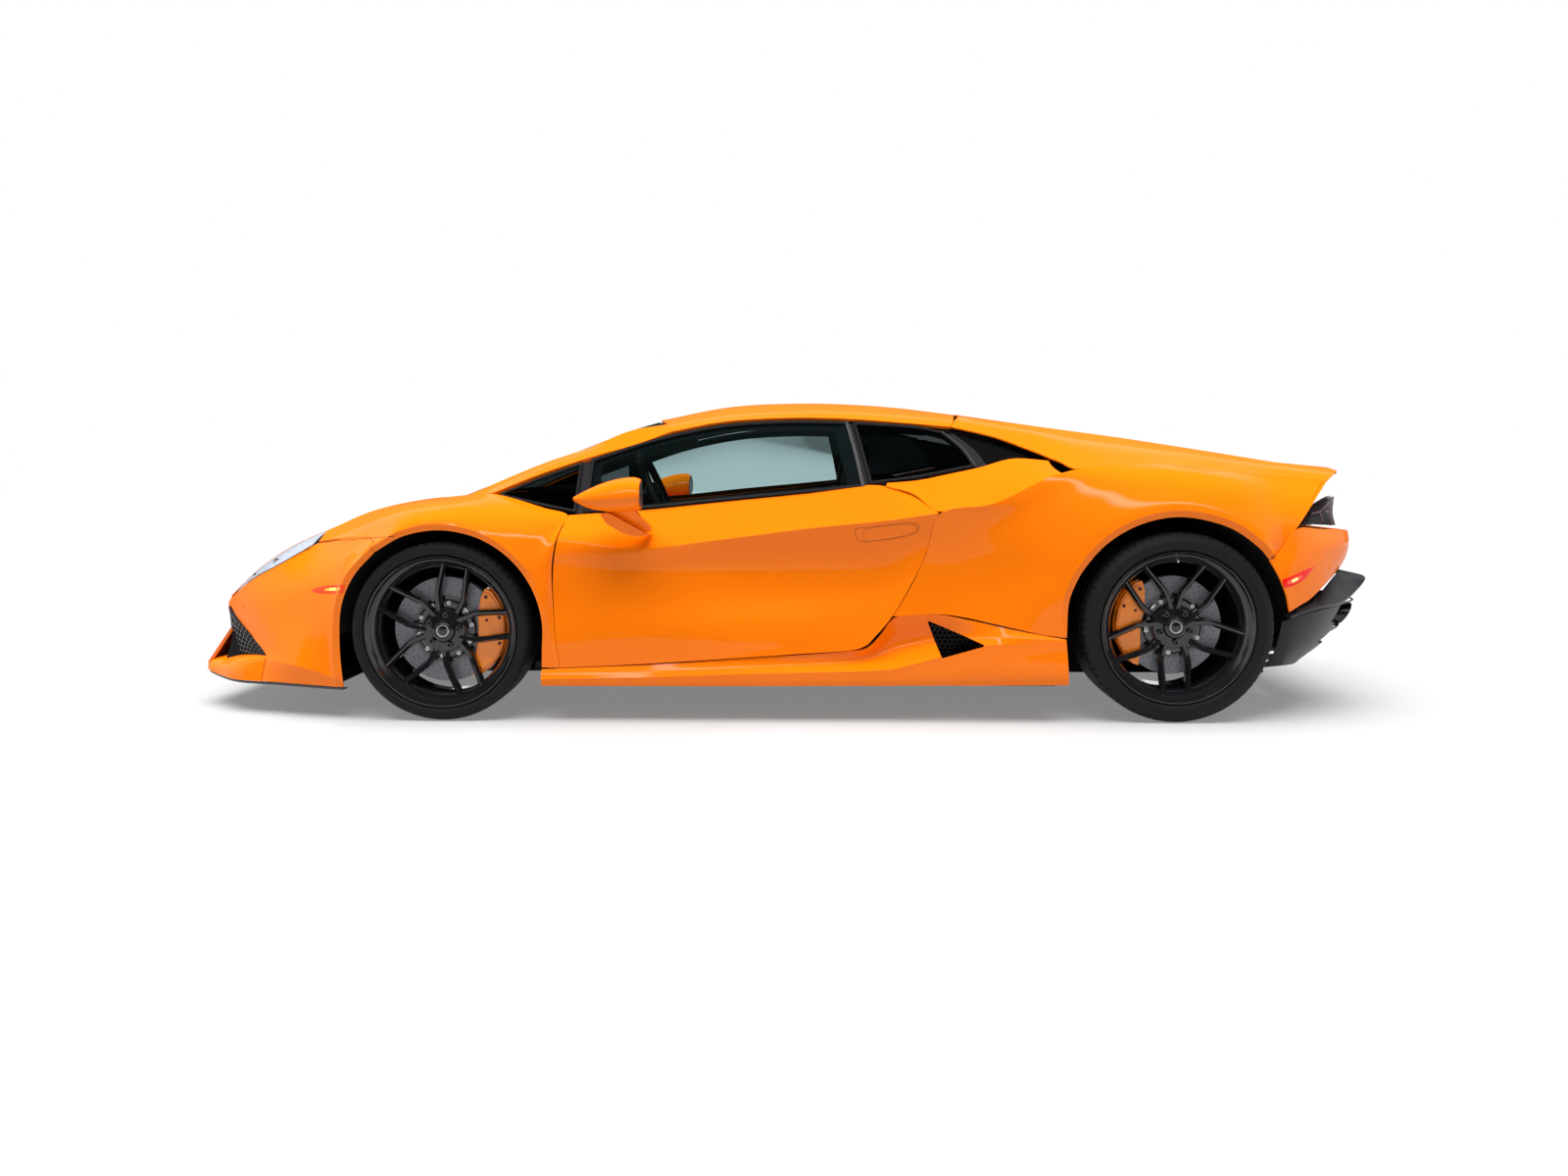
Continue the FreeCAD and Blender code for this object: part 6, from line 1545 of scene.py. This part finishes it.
YFw, YRw = 0.832, 0.806
tyF, rmF = wheel(-832, 242.0, 321.0, "F", 6.0, 66)
tyR, rmR = wheel(-806, 300.0, 340.0, "R", 56.0, 70)
HFF = 832 + (113 - 26 - 6 - 46)
HFR = 806 + (142 - 26 - 6 - 46)
dF = disc_parts(190, 34, 112, 832 - HFF + 0.5)
dR = disc_parts(178, 32, 108, 832 - HFR + 0.5)
cF = caliper_parts(190, 34, -30, 34)
cR = caliper_parts(178, 32, 140, 205)
uF = upright_parts(150, 1, 205)
uR = upright_parts(160, -1, 195)
for side, s in (("left", -1), ("right", 1)):
    for ax, cyl_, hz, ty, rm, dd, cc, uu, wn in ((AXF, YFw, 0.321, tyF, rmF, dF, cF, uF, "front"), (AXR, YRw, 0.340, tyR, rmR, dR, cR, uR, "rear")):
        bd = "wheel_%s_%s" % (wn, side)
        at = (ax, s * cyl_, hz)
        obj("tyre_tread_%s_%s" % (wn, side), [moved(p, at) for p in flip_if(ty, s)], [RUBBER], bd, ["tyre_%s_%s" % (wn, side)], sharp=38, fix=True)
        obj("rim_spokes_%s_%s" % (wn, side), [moved(p, at) for p in flip_if(rm, s)], [RIMB, PAINTED_SHADE_BLACK, STEEL], bd, ["rim_%s_%s" % (wn, side)], bevel=1.0, angle=28, fix=True)
        obj("brake_disc_%s_%s" % (wn, side), [moved(p, (ax, s * 0.832, hz)) for p in flip_if(dd, s)], [DISCM, BLACKG, DISC_HOLE_SHADE, STEEL], bd, ["disc_%s_%s" % (wn, side)], sharp=30, fix=True)
        cal = [moved(p, (ax, s * 0.832, hz)) for p in flip_if(cc, s)]
        upr = [moved(p, (ax, 0, hz)) for p in flip_if(uu, s)]
        if wn == "front":
            obj("steering_knuckle_" + side, cal + upr, [CALIPER_PAINTED_GLOW, CALD, ALU], "knuckle_%s_body" % side, ["knuckle_front_" + side], bevel=0.8, angle=35, fix=True)
        else:
            obj("rear_caliper_" + side, cal, [CALIPER_PAINTED_GLOW, CALD, ALU], "chassis", ["rear_calipers"] if side == "left" else (), bevel=0.8, angle=35, fix=True)

# ---------------------------------------------------------------- cabin
dash = []
DSH = [(150, 612), (140, 740), (175, 792), (300, 832), (420, 826), (545, 796), (590, 760), (600, 722), (575, 640), (540, 600), (430, 572)]
dsec = []
for yy, k in ((-688, 0.94), (-640, 0.985), (-560, 1.0), (-375, 1.0), (-200, 0.992), (0, 0.985), (200, 0.992), (375, 1.0), (560, 1.0), (640, 0.985), (688, 0.94)):
    cx, cz = 370, 700
    dsec.append([P(cx + (x_ - cx) * k, yy, cz + (z_ - cz) * k) for x_, z_ in DSH])
A = np.array(dsec)
sA = places(cumlen(A), 40, ())
dash.append(loft(list(along(A, sA[0], sA[1])), 0))
CON = [(430, 164), (430, 590), (560, 612), (700, 520), (800, 425), (1100, 396), (1400, 392), (1500, 330), (1500, 164)]
dash.append(loft([[P(x_, yy, z_) for x_, z_ in CON] for yy in (-116, -100, 100, 116)], 0))
dash.append(loft([[P(x_, yy, z_ + 3) for x_, z_ in ((575, 640), (600, 722), (604, 722), (582, 636))] for yy in (-110, 110)], 1))
hood = [[P(430, -375 + w_, 800), P(430, -375 + w_ * 0.8, 848), P(560, -375 + w_ * 0.8, 836), P(590, -375 + w_, 792)] for w_ in (-150, -120, 0, 120, 150)]
hood[2] = [P(430, -375, 800), P(430, -375, 858), P(560, -375, 846), P(590, -375, 792)]
dash.append(loft([hood[0], hood[1], hood[2], hood[3], hood[4]], 0))
swc = np.array(P(720, -375, 800))
sax = np.array([-0.92, 0, -0.39])
sax /= np.linalg.norm(sax)
dash.append(rod(tuple(swc + sax * 0.046), tuple(swc + sax * 0.23), 0.026, 24, 0))
for yv in (-560, -200, 200, 560):
    dash.append(loft([[P(588, yv - 45, 716), P(592, yv + 45, 716), P(588, yv + 40, 756), P(584, yv - 40, 756)], [P(602, yv - 42, 719), P(602, yv + 42, 719), P(598, yv + 37, 753), P(598, yv - 37, 753)]], 1))
obj("dash_and_console", dash, [LEATH, BLACKG], "chassis", ["dashboard"], bevel=3.0, angle=28, fix=True)

th = np.linspace(0, 2 * math.pi, 73)[:-1]
pu = np.cross(sax, np.array([0, 1.0, 0]))
ringp = [swc + 0.172 * (math.cos(t) * np.array([0, 1.0, 0]) + math.sin(t) * pu) for t in th]
rr_ = [0.0145 + 0.0015 * (abs(math.cos(t)) > 0.6) for t in th]
sw = [tube(ringp, rr_, 14, 0, closed=True)]
upz = pu if pu[2] > 0 else -pu
sw.append(tube([swc - sax * 0.0 + np.array([0, -0.165, 0]), swc + np.array([0, -0.09, 0]) + sax * 0.012, swc + sax * 0.016], [0.010, 0.012, 0.02], 10, 1))
sw.append(tube([swc + np.array([0, 0.165, 0]), swc + np.array([0, 0.09, 0]) + sax * 0.012, swc + sax * 0.016], [0.010, 0.012, 0.02], 10, 1))
sw.append(tube([swc - upz * 0.165, swc - upz * 0.08 + sax * 0.012, swc + sax * 0.016], [0.012, 0.014, 0.022], 10, 1))
sw.append(rod(tuple(swc - sax * 0.012), tuple(swc + sax * 0.040), 0.050, 32, 0))
obj("wheel_rim_and_boss", sw, [LEATH, SATIN], "steering_wheel_body", ["steering_wheel"], bevel=1.5, angle=40, fix=True)


# seats: hard shells plus stuffed cushions
def cushion(name, ctr, size, rot, pressure=4.0, vox=0.0055):
    """Pillow of cloth blown up by a short simulation, then frozen."""
    sx_, sy_, sz_ = size
    bm = bmesh.new()
    bmesh.ops.create_cube(bm, size=1.0)
    bmesh.ops.scale(bm, vec=(sx_, sy_, sz_), verts=bm.verts)
    bmesh.ops.bevel(bm, geom=list(bm.edges), offset=min(size) * 0.28, segments=3, profile=0.5, affect="EDGES")
    me = bpy.data.meshes.new(name)
    bm.to_mesh(me)
    bm.free()
    o = bpy.data.objects.new(name, me)
    bpy.context.scene.collection.objects.link(o)
    rmod = o.modifiers.new("re", "REMESH")
    rmod.mode = "VOXEL"
    rmod.voxel_size = vox * 1.0
    dg = bpy.context.evaluated_depsgraph_get()
    me2 = bpy.data.meshes.new_from_object(o.evaluated_get(dg))
    o.modifiers.clear()
    o.data = me2
    # stitched channels hold the cover down
    vg = o.vertex_groups.new(name="pin")
    idx = []
    for v in me2.vertices:
        c_ = v.co
        under = c_.z < -sz_ * 0.36
        seam = min(abs(abs(c_.y) - sy_ * 0.30), 1) < 0.004 and c_.z > 0
        chan = abs(c_.y) < sy_ * 0.30 and (abs(((c_.x / sx_) * 5 + 0.5) % 1.0 - 0.5) * sx_ / 5) < 0.0035 and c_.z > 0
        if under or seam or chan:
            idx.append(v.index)
    vg.add(idx, 1.0, "REPLACE")
    cl_ = o.modifiers.new("cloth", "CLOTH")
    st_ = cl_.settings
    st_.quality = 5
    st_.mass = 0.3
    st_.tension_stiffness = 25
    st_.compression_stiffness = 25
    st_.shear_stiffness = 8
    st_.bending_stiffness = 0.4
    st_.use_pressure = True
    st_.uniform_pressure_force = pressure
    st_.effector_weights.gravity = 0.0
    st_.vertex_group_mass = "pin"
    cl_.collision_settings.use_collision = False
    cl_.point_cache.frame_start = 1
    cl_.point_cache.frame_end = 20
    sc_ = bpy.context.scene
    for f in range(1, 21):
        sc_.frame_set(f)
    dg = bpy.context.evaluated_depsgraph_get()
    me3 = bpy.data.meshes.new_from_object(o.evaluated_get(dg))
    o.modifiers.clear()
    o.data = me3
    sc_.frame_set(1)
    n = len(o.data.vertices)
    co = np.empty(n * 3)
    o.data.vertices.foreach_get("co", co)
    co = co.reshape(-1, 3)
    mx_ = np.array([sx_, sy_, sz_]) / 2
    over = 0.016
    for q_ in range(3):
        lim = mx_[q_] + over
        co[:, q_] = np.clip(co[:, q_], -lim, lim)
    a = math.radians(rot)
    R = np.array([[math.cos(a), 0, math.sin(a)], [0, 1, 0], [-math.sin(a), 0, math.cos(a)]])
    co = co @ R.T + np.array(ctr)
    o.data.vertices.foreach_set("co", co.ravel())
    o.data.polygons.foreach_set("use_smooth", np.ones(len(o.data.polygons), bool))
    o.data.materials.clear()
    o.data.materials.append(CLOTH)
    o.vertex_groups.clear()
    o.data.update()
    return o


def twin(o, name):
    me = o.data.copy()
    n = len(me.vertices)
    co = np.empty(n * 3)
    me.vertices.foreach_get("co", co)
    co = co.reshape(-1, 3)
    co[:, 1] *= -1
    me.vertices.foreach_set("co", co.ravel())
    me.flip_normals()
    o2_ = bpy.data.objects.new(name, me)
    bpy.context.scene.collection.objects.link(o2_)
    return o2_


def done(o, subd=0):
    s_ = o.modifiers.new("sub", "SUBSURF")
    s_.levels = s_.render_levels = subd
    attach(o, "chassis")


shells = []
for yy in (-375, 375):
    base_s = [(905, 195), (885, 232), (890, 268), (1300, 246), (1330, 195)]
    shells.append(loft([[P(x_, yy + w_, z_) for x_, z_ in base_s] for w_ in (-228, -214, 214, 228)], 0))
    back_s = [(1330, 240), (1345, 300), (1478, 880), (1505, 985), (1540, 990), (1545, 800), (1420, 250)]
    shells.append(loft([[P(x_, yy + w_, z_) for x_, z_ in back_s] for w_ in (-218, -204, 204, 218)], 0))
    for s_ in (-1, 1):
        bol = [[P(905 + k, yy + s_ * (o_ + 178), z_ + 255 - k * 0.05) for o_, z_ in ((-16, 0), (44, 0), (46, 56), (8, 74), (-14, 40))] for k in (0, 30, 360, 390)]
        bol[0] = [lerp(p_, np.mean(bol[0], 0), 0.3) for p_ in bol[0]]
        bol[3] = [lerp(p_, np.mean(bol[3], 0), 0.3) for p_ in bol[3]]
        shells.append(loft(bol, 1))
o_sh = obj("seat_shells", shells, [LEATH, LEATH], "chassis", ["seats"], bevel=5.0, seg=3, angle=28, fix=True)
c1 = cushion("seat_base_cushion_left", (AXF + 1.095, -0.375, 0.284), (0.37, 0.33, 0.07), 4.0)
c2 = cushion("seat_back_cushion_left", (AXF + 1.395, -0.375, 0.575), (0.50, 0.36, 0.07), -76.5)
c3 = cushion("seat_head_cushion_left", (AXF + 1.482, -0.375, 0.900), (0.16, 0.26, 0.055), -78.0)
cs = [c1, c2, c3, twin(c1, "seat_base_cushion_right"), twin(c2, "seat_back_cushion_right"), twin(c3, "seat_head_cushion_right")]
for c_ in cs:
    done(c_)

# ---------------------------------------------------------------- CAD nodes that stay in view
PLAIN = {"chassis_tub": LEATH, "subframes": ALU, "underbody": UNDER, "engine_block": ALU, "front_suspension": ALU, "rear_suspension": ALU}
for nm, mt in PLAIN.items():
    o = frame["nodes"][nm]
    o.data.materials.clear()
    o.data.materials.append(mt)

# ---------------------------------------------------------------- stage, light, camera
FLOOR = mat("studio_floor", (0.36, 0.36, 0.363), 0.45, rv=0.05, spec=0.15, var=(0.8, 0.01), bump=(120, 0.1), strength=0.03, emit=((1.0, 0.99, 0.985), 0.22))
me = bpy.data.meshes.new("floor")
me.from_pydata([(-40, -40, 0), (40, -40, 0), (40, 40, 0), (-40, 40, 0)], [], [(0, 1, 2, 3)])
me.materials.append(FLOOR)
flo = bpy.data.objects.new("floor", me)
bpy.context.scene.collection.objects.link(flo)


def card_plane(name, pts, level):
    m = bpy.data.materials.new(name)
    m.use_nodes = True
    nt = m.node_tree
    nt.nodes.clear()
    e = nt.nodes.new("ShaderNodeEmission")
    e.inputs["Color"].default_value = (1, 1, 1, 1)
    e.inputs["Strength"].default_value = level
    out = nt.nodes.new("ShaderNodeOutputMaterial")
    nt.links.new(e.outputs[0], out.inputs[0])
    me_ = bpy.data.meshes.new(name)
    me_.from_pydata(pts, [], [(0, 1, 2, 3)])
    me_.materials.append(m)
    o_ = bpy.data.objects.new(name, me_)
    bpy.context.scene.collection.objects.link(o_)
    o_.visible_camera = False
    o_.visible_shadow = False
    o_.visible_transmission = False
    return o_


card_plane("dark_card_near", [(-16, -7.5, 0.02), (16, -7.5, 0.02), (16, -7.5, 7.5), (-16, -7.5, 7.5)], 0.045)
card_plane("dark_card_far", [(-16, 9.0, 0.25), (16, 9.0, 0.25), (16, 9.0, 6.0), (-16, 9.0, 6.0)], 0.12)

w = bpy.data.worlds.new("studio")
bpy.context.scene.world = w
w.use_nodes = True
wn_ = w.node_tree.nodes
wl_ = w.node_tree.links
bg = wn_["Background"]
wtc = wn_.new("ShaderNodeTexCoord")
wsx = wn_.new("ShaderNodeSeparateXYZ")
wl_.new(wtc.outputs["Generated"], wsx.inputs[0])
wmr = wn_.new("ShaderNodeMapRange")
wmr.interpolation_type = "SMOOTHSTEP"
wmr.inputs["From Min"].default_value = 0.42
wmr.inputs["From Max"].default_value = 0.72
wmr.inputs["To Min"].default_value = 1.0
wmr.inputs["To Max"].default_value = 0.10
wl_.new(wsx.outputs["Z"], wmr.inputs["Value"])
wl_.new(wmr.outputs["Result"], bg.inputs["Strength"])
bg.inputs["Color"].default_value = (1.0, 1.0, 1.0, 1)


def area(name, loc, target, sx_, sy_, energy):
    l = bpy.data.lights.new(name, "AREA")
    l.shape = "RECTANGLE"
    l.size, l.size_y = sx_, sy_
    l.energy = energy
    o_ = bpy.data.objects.new(name, l)
    o_.location = loc
    o_.rotation_euler = (Vector(target) - Vector(loc)).to_track_quat("-Z", "Y").to_euler()
    o_.visible_camera = False
    bpy.context.scene.collection.objects.link(o_)
    return o_


sl = bpy.data.lights.new("key_sun", "SUN")
sl.energy = 7.4
sl.angle = math.radians(60)
so = bpy.data.objects.new("key_sun", sl)
so.rotation_euler = Vector((0.05, 0.11, -1.0)).to_track_quat("-Z", "Y").to_euler()
so.visible_glossy = False
so.visible_camera = False
bpy.context.scene.collection.objects.link(so)
o_ = area("strip_wheels", (0.1, -5.0, 1.9), (0.1, -0.9, 0.30), 5.5, 0.7, 12)
o_.visible_glossy = False
hi_card = card_plane("overhead_box", [(-7.0, -6.0, 4.6), (7.0, -6.0, 4.6), (7.0, -6.0, 6.6), (-7.0, -6.0, 6.6)], 8.0)
hn = hi_card.data.materials[0].node_tree
ht = hn.nodes.new("ShaderNodeTexCoord")
hs = hn.nodes.new("ShaderNodeSeparateXYZ")
hn.links.new(ht.outputs["Generated"], hs.inputs[0])
acc = None
for ax_, e_, top_ in (("X", 0.25, 1.0), ("Z", 0.45, 10.0)):
    for flip_ in (0, 1):
        mr_ = hn.nodes.new("ShaderNodeMapRange")
        mr_.interpolation_type = "SMOOTHSTEP"
        mr_.inputs["From Min"].default_value = 1.0 if flip_ else 0.0
        mr_.inputs["From Max"].default_value = 1.0 - e_ if flip_ else e_
        mr_.inputs["To Min"].default_value = 0.0
        mr_.inputs["To Max"].default_value = 1.0 if not (ax_ == "Z" and flip_) else top_
        hn.links.new(hs.outputs[ax_], mr_.inputs["Value"])
        if acc is None:
            acc = mr_.outputs["Result"]
        else:
            mm_ = hn.nodes.new("ShaderNodeMath")
            mm_.operation = "MULTIPLY"
            hn.links.new(acc, mm_.inputs[0])
            hn.links.new(mr_.outputs["Result"], mm_.inputs[1])
            acc = mm_.outputs[0]
em_ = [q_ for q_ in hn.nodes if q_.type == "EMISSION"][0]
hn.links.new(acc, em_.inputs["Strength"])
hi_card.visible_diffuse = False

cd = bpy.data.cameras.new("camera")
cd.sensor_width = 36.0
cd.lens = 36.0 * FPX / 1600.0
cam = bpy.data.objects.new("camera", cd)
M3 = Matrix(((RT[0], UP[0], -FW[0]), (RT[1], UP[1], -FW[1]), (RT[2], UP[2], -FW[2])))
cam.matrix_world = Matrix.Translation(Vector(CAM)) @ M3.to_4x4()
bpy.context.scene.collection.objects.link(cam)
bpy.context.scene.camera = cam
bpy.context.scene.view_settings.view_transform = "Standard"
bpy.context.scene.view_settings.look = "None"
